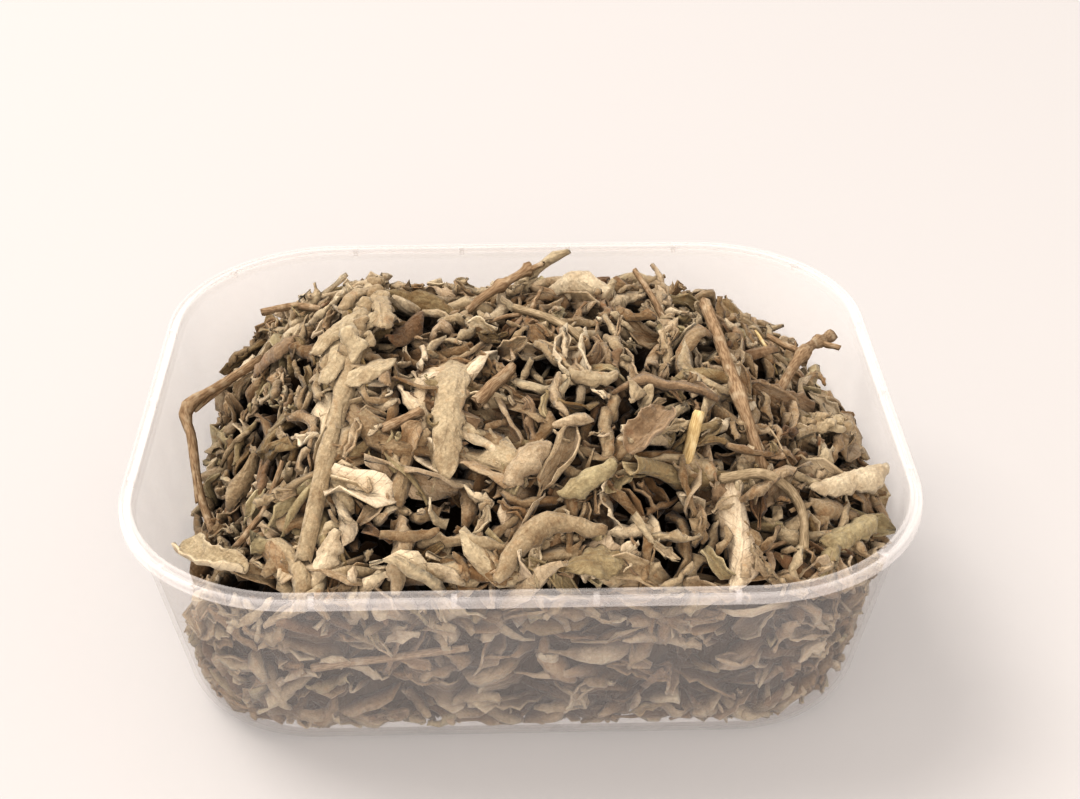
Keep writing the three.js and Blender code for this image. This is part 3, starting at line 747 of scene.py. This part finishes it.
LEAF_COLOURS = {
    # slot: finish, upper side, woolly underside, veins, warm specks
    "sage_leaf_grey": (
        "felted_grey_leaf",
        (0.60, 0.53, 0.40), (0.69, 0.62, 0.49), (0.74, 0.67, 0.53), (0.46, 0.31, 0.18),
    ),
    "sage_leaf_pale": (
        "felted_pale_leaf",
        (0.69, 0.62, 0.49), (0.73, 0.665, 0.545), (0.78, 0.72, 0.59), (0.54, 0.40, 0.26),
    ),
    "sage_leaf_green": (
        "netted_olive_leaf",
        (0.51, 0.455, 0.315), (0.57, 0.52, 0.375), (0.65, 0.59, 0.44), (0.45, 0.32, 0.18),
    ),
    "sage_leaf_brown": (
        "wrinkled_brown_leaf",
        (0.42, 0.33, 0.235), (0.49, 0.40, 0.30), (0.56, 0.47, 0.35), (0.36, 0.19, 0.10),
    ),
}
finishes = {}
for slot, (name, *colours) in LEAF_COLOURS.items():
    finishes[slot] = leaf_finish(name, *opaque(colours))


# The single pieces
# Leaves, leafy shoots and broken woody stems of the dried plant that lie free on the heap and can be told
# apart. They are placed before the loose leaves, which then settle under them.
PLACED_CRUMPLE = 0.24
SKIN_HOLD = 3
CLEARANCE = 0.4
STEM_TAPER = 0.15


def along_path(points, rows):
    """A smooth curve through points, as evenly spaced rows, and its direction at each."""
    points = np.array([2 * points[0] - points[1], *points, 2 * points[-1] - points[-2]])
    curve = []
    for k in range(1, len(points) - 2):
        for t in np.linspace(0, 1, 20, endpoint=False):
            weights = (
                -t + 2 * t ** 2 - t ** 3,
                2 - 5 * t ** 2 + 3 * t ** 3,
                t + 4 * t ** 2 - 3 * t ** 3,
                t ** 3 - t ** 2,
            )
            curve.append(sum(w * p for w, p in zip(weights, points[k - 1:k + 3])) / 2)
    curve.append(points[-2])
    curve = np.array(curve)
    length = np.concatenate([[0], np.cumsum(np.linalg.norm(np.diff(curve, axis=0), axis=1))])
    even = np.linspace(0, length[-1], rows)
    path = np.stack([np.interp(even, length, curve[:, axis]) for axis in range(3)], -1)
    return path, unit(np.gradient(path, axis=0))


def placed_leaf(points, width, turns, gather=1.2, rows=26, columns=15, roll=0.0):
    """A leaf along given points, facing up, with its margins turned by these angles."""
    spine, forward = along_path(points, rows)
    side = unit(np.cross((0, 0, 1), forward))
    up = np.cross(forward, side)
    angle = (roll * np.linspace(-0.5, 0.5, rows) + smooth_noise(rows, 0.15))[:, None]
    side, up = side * np.cos(angle) + up * np.sin(angle), up * np.cos(angle) - side * np.sin(angle)
    half = leaf_outline(rows, width)
    curl = [turn + smooth_noise(rows, 0.3) for turn in turns]
    marks = blade(spine, side, up, half, curl, gather, PLACED_CRUMPLE, columns)
    return (*marks, blade_faces(rows, columns))


def stem_tube(points, radius, rows=24, knobs=(), sides=10):
    """A dry stem: slightly crooked and ridged, with swollen knobs and a broken end."""
    spine, forward = along_path(points, rows)
    reference = (0, 0, 1) if abs(forward[0][2]) < 0.8 else (1, 0, 0)
    side = unit(np.cross(forward, reference))
    up = np.cross(side, forward)
    share = np.linspace(0, 1, rows)
    size = radius * (1 - STEM_TAPER * share) * (1 + smooth_noise(rows, 0.08))
    for place, knob in knobs:
        size = size + (knob - radius) * np.exp(-((share - place) * (rows - 1) / 1.3) ** 2)
    spine = spine + side * smooth_noise(rows, 0.2)[:, None] + up * smooth_noise(rows, 0.2)[:, None]
    angle = np.linspace(0, 2 * math.pi, sides, endpoint=False)
    ridges = 1 + 0.10 * np.sin(3 * angle + rng.uniform(0, 6)) + rng.uniform(-0.05, 0.05, (rows, sides))
    round_part = np.cos(angle)[None, :, None] * side[:, None] + np.sin(angle)[None, :, None] * up[:, None]
    tube = spine[:, None] + round_part * (size[:, None] * ridges)[..., None]
    torn = rng.uniform(-0.5, 0.5, (2, sides))
    tube[0] += forward[0] * torn[0][:, None] * radius
    tube[-1] += forward[-1] * torn[1][:, None] * radius
    length = np.linalg.norm(np.diff(spine, axis=0), axis=1).sum()
    marks = np.stack(np.broadcast_arrays(share[:, None] * length, angle[None] * radius, 0 * ridges), -1)
    return tube.reshape(-1, 3), marks.reshape(-1, 3), lofted_faces(rows, sides)


def stem_finish(name, bark, streak, inner):
    """Dry bark: fine streaks along the stem, mottled, with pale downy patches."""
    material, tree, surface = new_finish(name)
    own = tree.mark("tint").part(2)
    moved = tree.node("ShaderNodeVectorMath", {"operation": "ADD"}, {0: tree.mark("blade"), 1: own})
    drawn = tree.node("ShaderNodeVectorMath", {"operation": "MULTIPLY"}, {0: moved, 1: (0.35, 2.4, 1.0)})
    streaks = tree.noise(drawn, 1.6, 4.0)
    mottle = tree.noise(moved, 0.35, 3.0)
    colour = streaks.step_from(0.35, 0.65).mix(streak, bark)
    colour = (mottle.step_from(0.5, 0.72) * 0.7).mix(colour, inner)
    join(colour, surface["Base Color"])
    surface["Roughness"].default_value = 0.85
    surface["Specular IOR Level"].default_value = 0.2
    join((streaks * 0.22 + mottle * 0.15).relief(), surface["Normal"])
    return material


STEM_COLOURS = {
    # slot: finish, bark, its dark streaks, pale downy patches
    "stem_grey": ("downy_grey_stem", (0.46, 0.38, 0.27), (0.30, 0.24, 0.165), (0.58, 0.49, 0.36)),
    "stem_brown": ("bare_brown_stem", (0.42, 0.32, 0.22), (0.25, 0.175, 0.11), (0.53, 0.45, 0.34)),
    "stem_pale": ("straw_stem", (0.66, 0.54, 0.33), (0.50, 0.38, 0.21), (0.74, 0.66, 0.47)),
}
for slot, (name, *colours) in STEM_COLOURS.items():
    finishes[slot] = stem_finish(name, *opaque(colours))


def add_single(node, slot, meshes):
    """One single piece from the meshes of its stem and leaves. The pile's leaves keep under it."""
    points = []
    faces = []
    marks = []
    tones = []
    for part_points, part_marks, part_faces in meshes:
        base = sum(len(part) for part in points)
        faces += [tuple(int(i) + base for i in face) for face in part_faces]
        points.append(part_points)
        marks.append(part_marks)
        tone = (rng.uniform(0.4, 1), rng.random() * 0.5, rng.uniform(0, 500))
        tones.append(np.broadcast_to(tone, part_points.shape))
    points = np.concatenate(points)
    layers = {"blade": np.concatenate(marks), "tint": np.concatenate(tones)}
    add_piece("dried_" + node, points, faces, finishes[slot], [node], layers)
    spot = cells(points)
    over = points[:, 2] > target[spot] - SKIN_HOLD
    np.minimum.at(ceiling, (spot[0][over], spot[1][over]), points[over, 2] - CLEARANCE)


def spot_at(x, y, z):
    return np.array([x, y, z], float)


def by_front_wall(x, z, gap):
    return np.array([x, wall_side(z, gap) - RIM_HALF_DEPTH, z])


def path_of(points):
    """The points of a path. A plain tuple is a place on the heap and its height above it."""
    return [on_heap(*point) if isinstance(point, tuple) else point for point in points]


STEMS = {
    # node: slot, radius, path, knobs as share of the length and radius, twigs as share, tip and radius
    "bent_stem_left": (
        "stem_brown", 1.1,
        [
            spot_at(-63, 24, 46), spot_at(-72, 13.5, 45), spot_at(-79.5, 6, 43), spot_at(-77.5, -1.5, 39),
            spot_at(-75, -13.5, 33), spot_at(-70.5, -26, 30),
        ],
        [(0.4, 1.9)],
        [(0.12, spot_at(-78, 7.5, 41.5), 0.7), (0.47, spot_at(-74.8, -17, 31.8), 0.6)],
    ),
    "back_twig": ("stem_brown", 0.9, [spot_at(-62, 26, 58), (-54, 19, 5), (-46, 10, 0)], [], []),
    "knobby_twig_top": (
        "stem_brown", 1.1, [(-12, 0, 0), (-5, 4, 4), (3, 8, 8)],
        [(0.55, 1.8), (0.97, 2.0)],
        [(0.9, (6, 6, 9), 0.7)],
    ),
    "grey_stem_top": ("stem_grey", 1.0, [(-1, -6, 3), (7, -13, 4), (15, -21, 2)], [], []),
    "thin_stick_back": ("stem_brown", 0.8, [(33, -3, -1), (30, 3, 3), (27, 10, 7)], [], []),
    "long_brown_stem": (
        "stem_brown", 1.4, [(42, -5, 6), (44, -19, 3.5), (47, -37, 2.5), (51, -48, -1)], [(0.62, 1.9)], [],
    ),
    "forked_twig_right": (
        "stem_brown", 1.2,
        [(57, -20, -2), (61, -12, 4), (67, 0, 13), (76, 17, 20)],
        [(0.45, 2.0), (0.75, 1.9), (0.97, 1.8)],
        [(0.45, (58, 2, 7), 0.8), (0.75, (76, 6, 20), 0.8)],
    ),
    "arched_stem_right": (
        "stem_grey", 1.2, [(41, -54, 2), (51, -52, 3.5), (58, -55, 3), (58, -63, 1)], [], [],
    ),
    "yellow_stem": ("stem_pale", 1.4, [(34, -50, -2), (37, -46, 7)], [], []),
    "brown_stem_middle": ("stem_brown", 1.5, [(-10, -40, 1.5), (-2, -31, 3)], [], []),
    "brown_stem_left": ("stem_brown", 1.2, [(-29, -45, 1.5), (-21, -43, 3)], [], []),
    "short_stem_right": ("stem_grey", 1.0, [(70, -40, 1), (77.5, -38.5, 5)], [], []),
    "wall_stem": (
        "stem_brown", 0.9,
        [by_front_wall(-45, 24, 2), by_front_wall(-30, 27, 1.6), by_front_wall(-12, 30, 2)],
        [], [],
    ),
}
for node, (slot, radius, path, knobs, twigs) in STEMS.items():
    path = path_of(path)
    parts = [stem_tube(path, radius, knobs=knobs)]
    spine, _ = along_path(path, 101)
    for share, tip, size in twigs:
        parts.append(stem_tube(path_of([spine[int(100 * share)], tip]), size, rows=8))
    add_single(node, slot, parts)

SPRIGS = {
    # node: stem radius, path, where its leaves start, number of small leaves, leaf length, leaf width
    "leafy_sprig_left": (
        1.8, [(-45.6, -63.9, 1), (-41, -49, 3.5), (-35.3, -23.8, 5), (-32.7, 1.7, 5)], 0.5, 20, 12, 5.5,
    ),
    "leafy_sprig_right": (1.1, [(60, -33, 0), (67, -26, 3), (72, -20, 4)], 0.25, 14, 8, 4.5),
}
LARGE_LEAVES = {
    # node: root and tip as shares of the stem, how far the tip stands to the right and above, width, turns
    "leafy_sprig_left": [
        (0.82, 0.50, -4.5, 2.0, 8.5, (1.3, 0.9)),
        (0.50, 0.60, 9.0, 0.5, 7.0, (0.5, 0.7)),
        (0.74, 0.62, -9.0, 0.5, 6.0, (1.5, 1.2)),
        (0.93, 0.70, 5.5, 2.0, 6.0, (1.7, 1.0)),
        (0.98, 0.84, -6.0, 1.0, 5.0, (1.9, 1.4)),
    ],
    "leafy_sprig_right": [],
}
LEAF_TO_LEAF = 2.4
for node, (radius, path, start, count, length, width) in SPRIGS.items():
    path = path_of(path)
    parts = [stem_tube(path, radius, rows=40, knobs=[(0.3, radius * 1.25), (0.5, radius * 1.35)])]
    spine, forward = along_path(path, 101)
    for root_share, tip_share, right, lift, broad, turns in LARGE_LEAVES[node]:
        root = spine[int(100 * root_share)] + (0, 0, radius)
        tip = spine[int(100 * tip_share)] + (right, 0, lift)
        middle = (root + tip) / 2 + (right * 0.15, 0, 1.5)
        roll = rng.normal(0, 0.5)
        parts.append(placed_leaf([root, middle, tip], broad, turns, rows=18, columns=11, roll=roll))
    for i in range(count):
        share = start + (0.99 - start) * (i / (count - 1)) ** 0.8
        root = spine[int(100 * share)]
        along = forward[int(100 * share)]
        side = unit(np.cross((0, 0, 1), along))
        above = np.cross(along, side)
        angle = LEAF_TO_LEAF * i + rng.normal(0, 0.3)
        radial = unit(side * math.cos(angle) + above * (abs(math.sin(angle)) + 0.15))
        opening = rng.uniform(0.5, 1.3) * (1.15 - share * 0.6)
        out = along * math.cos(opening) + radial * math.sin(opening)
        reach = length * rng.uniform(0.45, 1.1) * (1.25 - 0.6 * share)
        middle = root + out * 0.5 * reach + radial * rng.uniform(0.5, 2.0)
        droop = rng.uniform(-0.45, 0.15) * reach
        tip = root + out * reach * 0.85 + radial * droop + side * rng.normal(0, 0.12 * reach)
        turns = (rng.uniform(0.5, 2.2), rng.uniform(0.5, 2.2))
        broad = width * rng.uniform(0.7, 1.3) * (1.15 - 0.4 * share)
        roll = rng.normal(0, 0.8)
        parts.append(placed_leaf([root, middle, tip], broad, turns, rows=13, columns=9, roll=roll))
    add_single(node, "sage_leaf_grey", parts)

SINGLE_LEAVES = {
    # node: slot, path, width, turn of each margin, gather
    "round_leaf_top": ("sage_leaf_pale", [(6, 12, 1), (13, 9, 6), (21, 5, 2)], 12, (1.5, 1.6), 1.0),
    "tall_leaf": ("sage_leaf_grey", [(-14, -22, 1), (-15, -38, 3.5), (-16, -55, 2)], 8.5, (0.6, 0.5), 0.8),
    "pale_leaf_right": ("sage_leaf_pale", [(61, -49, 2.5), (71, -43, 8), (80, -36, 13)], 11, (2.1, 2.3), 1.0),
    "green_leaf_right": ("sage_leaf_green", [(62, -60, 2), (69, -55, 4), (75, -49, 6)], 10, (1.7, 1.6), 1.0),
    "violet_leaf": ("sage_leaf_brown", [(22, -51, 2), (27, -48, 4), (31, -43, 3)], 10, (-1.3, -1.3), 1.0),
    "white_leaf": ("sage_leaf_pale", [(-4, -56, 2), (1, -52, 4), (6, -49, 2)], 12, (2.3, 1.2), 0.8),
    "rolled_leaf": ("sage_leaf_green", [(7, -58, 2), (13, -56, 4), (19, -53, 3)], 12, (2.9, 2.7), 1.0),
    "front_leaf": (
        "sage_leaf_grey", [spot_at(-6, -75, 52.3), (-2, -68, 5), (5, -63, 4), (17, -64, 2)],
        13, (2.6, 2.6), 1.0,
    ),
    "veined_leaf": ("sage_leaf_green", [(6, -71, 3), (13, -70.5, 4.5), (20, -69, 2)], 9, (0.6, 0.5), 1.2),
    "boat_leaf": (
        "sage_leaf_grey", [spot_at(-73.5, -49.5, 43), spot_at(-66.5, -59, 46), spot_at(-57.5, -64, 47)],
        11, (-1.4, -1.3), 0.6,
    ),
    "thick_leaf": (
        "sage_leaf_pale", [(-44, -68.5, 1.5), (-41.5, -66, 4), (-38.5, -61.5, 3.5)], 7, (1.9, 1.5), 1.0,
    ),
    "dark_leaf": ("sage_leaf_brown", [(-64, 20, 2), (-57.5, 9, 5), (-52, 4, 2)], 11, (1.9, 1.6), 1.0),
}
for node, (slot, path, width, turns, gather) in SINGLE_LEAVES.items():
    leaf = placed_leaf(path_of(path), width, turns, gather, roll=rng.uniform(-0.6, 0.6))
    add_single(node, slot, [leaf])


# The loose leaves of the heap
# Dry curled leaves, each dropped on those that lie there already, the deep ones first. Among them lie broken
# shoot tips with their small crowded leaves, bits of stem, and crumbs.
TOP_LEAVES = 2600
SHOOT_TIPS = 55
STEM_BITS = 120
CRUMBS = 260
LEAST_ROOM = 1.0
DEEP_ROOM = 7
LARGE_SHARE = 0.42
LARGE_LENGTH = (16, 29)
SMALL_LENGTH = (8, 16)
WIDTH_SHARE = (0.26, 0.44)
DROP_HEIGHT = 60
# shares of the grey, pale, green and brown leaves
SLOT_SHARES = dict(zip(LEAF_COLOURS, (0.56, 0.25, 0.11, 0.08)))
# rows and columns of points in a leaf's mesh
SMALL, FINE, FINEST, FLAKE = (7, 5), (11, 7), (15, 9), (4, 5)
templates = {size: blade_faces(*size) for size in (SMALL, FINE, FINEST, FLAKE)}
batches = {(layer, slot): Batch() for layer in ("inner", "outer") for slot in SLOT_SHARES}


def draw_slot(shares=SLOT_SHARES):
    return rng.choice(list(shares), p=list(shares.values()))


def open_spot(reach_x=84, reach_y=74, tries=6):
    """The place with the most room under the heap's surface among a few random ones."""
    spots_x = rng.uniform(-reach_x, reach_x, tries)
    spots_y = rng.uniform(-reach_y, reach_y, tries)
    spot = cells(np.stack([spots_x, spots_y], -1))
    room = target[spot] - pile[spot]
    outside, _ = past_room(np.stack([spots_x, spots_y, target[spot]], -1))
    room[outside > -2] = 0
    best = room.argmax()
    return spots_x[best], spots_y[best], room[best]


def drop(points, x, y, pitch, roll, proud=UPRIGHT):
    """Turns a loose piece to lie on the heap's slope at a place, in any direction, and settles it there."""
    turn = rng.uniform(0, 2 * math.pi)
    heading = np.array([math.cos(turn), math.sin(turn), 0])
    points = turned(points, heap_normal(x, y), heading, pitch, roll)
    return settle(points + (x, y, DROP_HEIGHT), proud)


placed = 0
for _ in range(4 * TOP_LEAVES):
    x, y, room = open_spot()
    if room < LEAST_ROOM:
        continue
    deep = room > DEEP_ROOM
    large = rng.random() < LARGE_SHARE
    length = rng.uniform(*(LARGE_LENGTH if large else SMALL_LENGTH))
    size = SMALL if deep else (FINEST if large else FINE)
    width = length * rng.uniform(*WIDTH_SHARE)
    points, place = random_leaf(length, width, *size, hooked=1.0 if large else 1.7)
    pitch = rng.normal(0, 0.25) if rng.random() < 0.85 else rng.uniform(0.4, 1.0)
    roll = rng.normal(0, 0.7) + (math.pi if rng.random() < 0.45 else 0)
    points = drop(points, x, y, pitch, roll, STICKING_OUT if rng.random() < 0.15 else LYING)
    if points is None:
        continue
    batches["inner" if deep else "outer", draw_slot()].add(points, place, templates[size], leaf_tone())
    placed += 1
    if placed == TOP_LEAVES:
        break


def tube_faces(rows, sides):
    """Faces of a closed six-sided tube."""
    around = np.array(lofted_faces(rows, sides, closed_ends=False))
    start = np.array([(3, 2, 1, 0), (5, 4, 3, 0)])
    end = np.array([(0, 1, 2, 3), (0, 3, 4, 5)]) + (rows - 1) * sides
    return np.concatenate([around, start, end])


BIT_SIZE = (8, 6)
templates[BIT_SIZE] = tube_faces(*BIT_SIZE)


def stem_bit(length, radius):
    """A short broken stem round the origin, along +X, a little crooked and with a knob."""
    rows, sides = BIT_SIZE
    share = np.linspace(0, 1, rows)
    bow = np.sin(math.pi * share)
    sway, sag = (rng.normal(0, 0.06) * length * bow for _ in range(2))
    spine = np.stack([(share - 0.5) * length, sway, sag], -1)
    spine[:, 1:] += rng.uniform(-0.25, 0.25, (rows, 2)) * radius
    size = radius * rng.uniform(0.85, 1.1, rows)
    size[rng.integers(1, rows - 1)] *= 1.35
    size[[0, -1]] *= 0.75
    angle = np.linspace(0, 2 * math.pi, sides, endpoint=False)
    ring = np.stack([np.zeros(sides), np.cos(angle), np.sin(angle)], -1)
    points = spine[:, None] + ring[None] * (size[:, None] * rng.uniform(0.85, 1.15, (rows, sides)))[..., None]
    flat = np.broadcast_arrays(share[:, None] * length, angle[None] * radius, 0 * points[..., 0])
    return points.reshape(-1, 3), np.stack(flat, -1).reshape(-1, 3)


def shoot_tip():
    """A shoot tip along +X: a short stem whose end is crowded with small curled leaves."""
    stem_length = rng.uniform(8, 18)
    points, place = stem_bit(stem_length, rng.uniform(0.7, 1.1))
    parts = [(points, place, templates[BIT_SIZE])]
    for i in range(rng.integers(6, 10)):
        length = rng.uniform(5, 10)
        points, place = random_leaf(length, length * rng.uniform(0.4, 0.6), *SMALL, hooked=1.6)
        points = points - (points[:, 0].min(), 0, 0)
        angle = LEAF_TO_LEAF * i + rng.normal(0, 0.3)
        radial = np.array([0, math.cos(angle), math.sin(angle)])
        opening = rng.uniform(0.2, 1.1)
        heading = np.array([math.cos(opening), 0, 0]) + radial * math.sin(opening)
        points = turned(points, -radial, heading, 0, rng.normal(0, 0.3))
        root = (stem_length * rng.uniform(0.1, 0.5), 0, 0)
        parts.append((points + root, place, templates[SMALL]))
    starts = np.cumsum([0] + [len(part[0]) for part in parts])
    faces = np.concatenate([part[2] + start for part, start in zip(parts, starts)])
    return np.concatenate([part[0] for part in parts]), np.concatenate([part[1] for part in parts]), faces


for _ in range(SHOOT_TIPS):
    x, y, _ = open_spot(70, 64, 1)
    points, place, faces = shoot_tip()
    points = drop(points, x, y, rng.normal(0, 0.3), rng.uniform(0, 6.3), STICKING_OUT)
    if points is not None:
        slot = "sage_leaf_pale" if rng.random() < 0.4 else "sage_leaf_grey"
        batches["outer", slot].add(points, place, faces, leaf_tone())

BIT_SHARES = dict(zip(STEM_COLOURS, (0.5, 0.35, 0.15)))
bits = {slot: Batch() for slot in BIT_SHARES}
for _ in range(STEM_BITS):
    x, y, _ = open_spot(72, 66, 1)
    points, place = stem_bit(rng.uniform(8, 30), rng.uniform(0.45, 1.1))
    points = drop(points, x, y, rng.normal(0, 0.3), 0)
    if points is not None:
        bits[draw_slot(BIT_SHARES)].add(points, place, templates[BIT_SIZE], leaf_tone())

for _ in range(CRUMBS):
    x, y, _ = open_spot(78, 70, 1)
    length = rng.uniform(2.5, 5.5)
    points, place = random_leaf(length, length * rng.uniform(0.4, 0.7), *FLAKE)
    points = drop(points, x, y, rng.normal(0, 0.5), rng.uniform(0, 6.3))
    if points is not None:
        batches["outer", draw_slot()].add(points, place, templates[FLAKE], leaf_tone())


# Leaves against the walls and on the base
# The tub is full to its walls, so dry leaves lie against the plastic all round and show through it. They are
# spread evenly by two fixed steps, one along the walls and one up them, in a layer behind and one in front.
WALL_LEAVES = 1400
EVEN_ALONG = 0.7548777
EVEN_UP = 0.5698403
FOOT_BAND = 9
BEHIND_GAP = (2.5, 6)
FRONT_GAP = (0.1, 1.5)
BASE_LEAVES = 170
PLAIN_TONE = (0.95, 0.2)
# shares of the grey, pale, green and brown leaves against the walls and on the base: more pale ones than in
# the heap, as painted light where light comes through the plastic
WALL_SHARES_PAINTED_LIGHT = dict(zip(LEAF_COLOURS, (0.48, 0.36, 0.08, 0.08)))
wall_path = np.array(outline(wall_side(25), 25))[:, :2]
wall_path = np.concatenate([wall_path, wall_path[:1]])
wall_steps = np.concatenate([[0], np.cumsum(np.linalg.norm(np.diff(wall_path, axis=0), axis=1))])
for i in range(WALL_LEAVES):
    distance = (i * EVEN_ALONG % 1) * wall_steps[-1]
    x, y = (np.interp(distance, wall_steps, wall_path[:, axis]) for axis in range(2))
    highest = float(heap_height(x, y)) - 1
    share = i * EVEN_UP % 1
    z = 1 + share * (max(highest, 8) - 1) if i % 4 else FOOT_BAND * share
    out = unit(np.append(-past_room(np.array([[x, y, 25.0]]))[1][0], -0.2))
    front = i > WALL_LEAVES // 2
    length = rng.uniform(9, 26)
    size = FINE if front else SMALL
    points, place = random_leaf(length, length * rng.uniform(0.3, 0.5), *size)
    along = unit(np.cross((0, 0, 1), out))
    angle = rng.normal(0, 0.8) * (0.6 if z < FOOT_BAND else 1)
    heading = along * math.cos(angle) + np.array([0, 0, math.sin(angle)])
    points = turned(points, out, heading, rng.normal(0, 0.2), rng.normal(0, 0.7) + math.pi * (i % 2))
    points = points + (x, y, z)
    points = points + (0, 0, max(0, 1.2 - points[:, 2].min()))
    reach = past_room(points)[0].max()
    points = points - out * (1, 1, 0) * (reach + rng.uniform(*(FRONT_GAP if front else BEHIND_GAP)))
    batches["inner", draw_slot(WALL_SHARES_PAINTED_LIGHT)].add(keep_inside(points), place, templates[size], leaf_tone())

FRONT_LEAVES = [
    # those that show plainly through the front wall: slot, place along the wall, height, slant, length, width
    ("sage_leaf_pale", 5, 21, -1.25, 24, 12),
    ("sage_leaf_pale", -26, 38, -0.9, 17, 8),
    ("sage_leaf_pale", 24, 9, 0.45, 22, 8),
    ("sage_leaf_grey", 52, 18, 0.15, 30, 8),
    ("sage_leaf_grey", -52, 14, 0.9, 20, 7),
    ("sage_leaf_brown", 37, 37, 0.5, 9, 5),
]
facing = np.array([0.0, -1.0, -0.2])
for slot, x, z, slant, length, width in FRONT_LEAVES:
    points, place = random_leaf(length, width, *FINEST, hooked=0.4)
    points = turned(points, unit(facing), np.array([math.cos(slant), 0, math.sin(slant)]), 0, 0)
    points = points + by_front_wall(x, z, 0)
    points = points + (0, past_room(points)[0].max(), 0)
    tone = (*PLAIN_TONE, rng.uniform(0, 500))
    batches["inner", slot].add(keep_inside(points), place, templates[FINEST], tone)

for i in range(BASE_LEAVES):
    x, y = rng.uniform(-70, 70), rng.uniform(-60, 60)
    length = rng.uniform(14, 30)
    points, place = random_leaf(length, length * rng.uniform(0.3, 0.5), *SMALL)
    turn = rng.uniform(0, 2 * math.pi)
    heading = np.array([math.cos(turn), math.sin(turn), 0])
    points = turned(points, np.array([0, 0, -1.0]), heading, rng.normal(0, 0.1), 0)
    points = points + (x, y, 1.5 - points[:, 2].min())
    batches["inner", draw_slot(WALL_SHARES_PAINTED_LIGHT)].add(keep_inside(points), place, templates[SMALL], leaf_tone())


# The dark inside of the heap
# Under its skin the heap is more of the same leaves, packed close and unlit. One crumpled body stands for
# them, painted near-black as their shade, and loose leaves cover it on all sides.
CORE_INSET = 6.5
CORE_EDGE = 30
# the leaves' colours darkened to near-black, as painted shade
CORE_SHADE_COLOURS = ((0.10, 0.07, 0.04), (0.11, 0.08, 0.05), (0.14, 0.10, 0.07), (0.07, 0.035, 0.015))


def make_core():
    edge = np.array(outline(wall_side(CORE_EDGE, CORE_INSET), CORE_EDGE))
    edge[:, 2] = np.maximum(heap_height(edge[:, 0], edge[:, 1]) - 12, 4)
    rings = []
    for z, lean in ((2.5, 5), (4, 2), (8, 0), (16, 0)):
        ring = np.array(outline(wall_side(z, CORE_INSET + lean), z))
        ring[:, 2] = np.minimum(z, edge[:, 2])
        rings.append(ring)
    rings.append(edge)
    for share in (0.93, 0.84, 0.74, 0.62, 0.5, 0.38, 0.26, 0.14, 0.05):
        ring = edge * (share, share, 1)
        ring[:, 2] = np.maximum(heap_height(ring[:, 0], ring[:, 1]) - SKIN_DEPTH - 2, 4)
        rings.append(ring)
    points = np.concatenate(rings)
    points = points + rng.uniform(-0.8, 0.8, points.shape)
    faces = lofted_faces(len(rings), len(edge))
    # the lowest tone, which darkens the core further as painted shade
    marks = {"blade": points * 0.8, "tint": np.broadcast_to((0.0, 0.3, 7.0), points.shape)}
    core = leaf_finish("packed_leaves_painted_shade", *opaque(CORE_SHADE_COLOURS))
    add_piece("packed_inside", points, faces, core, ["leaf_heap"], marks)


make_core()
for (layer, slot), batch in batches.items():
    batch.pieces(f"{layer}_{slot}", slot)
for slot, batch in bits.items():
    batch.pieces(f"loose_{slot}", slot)
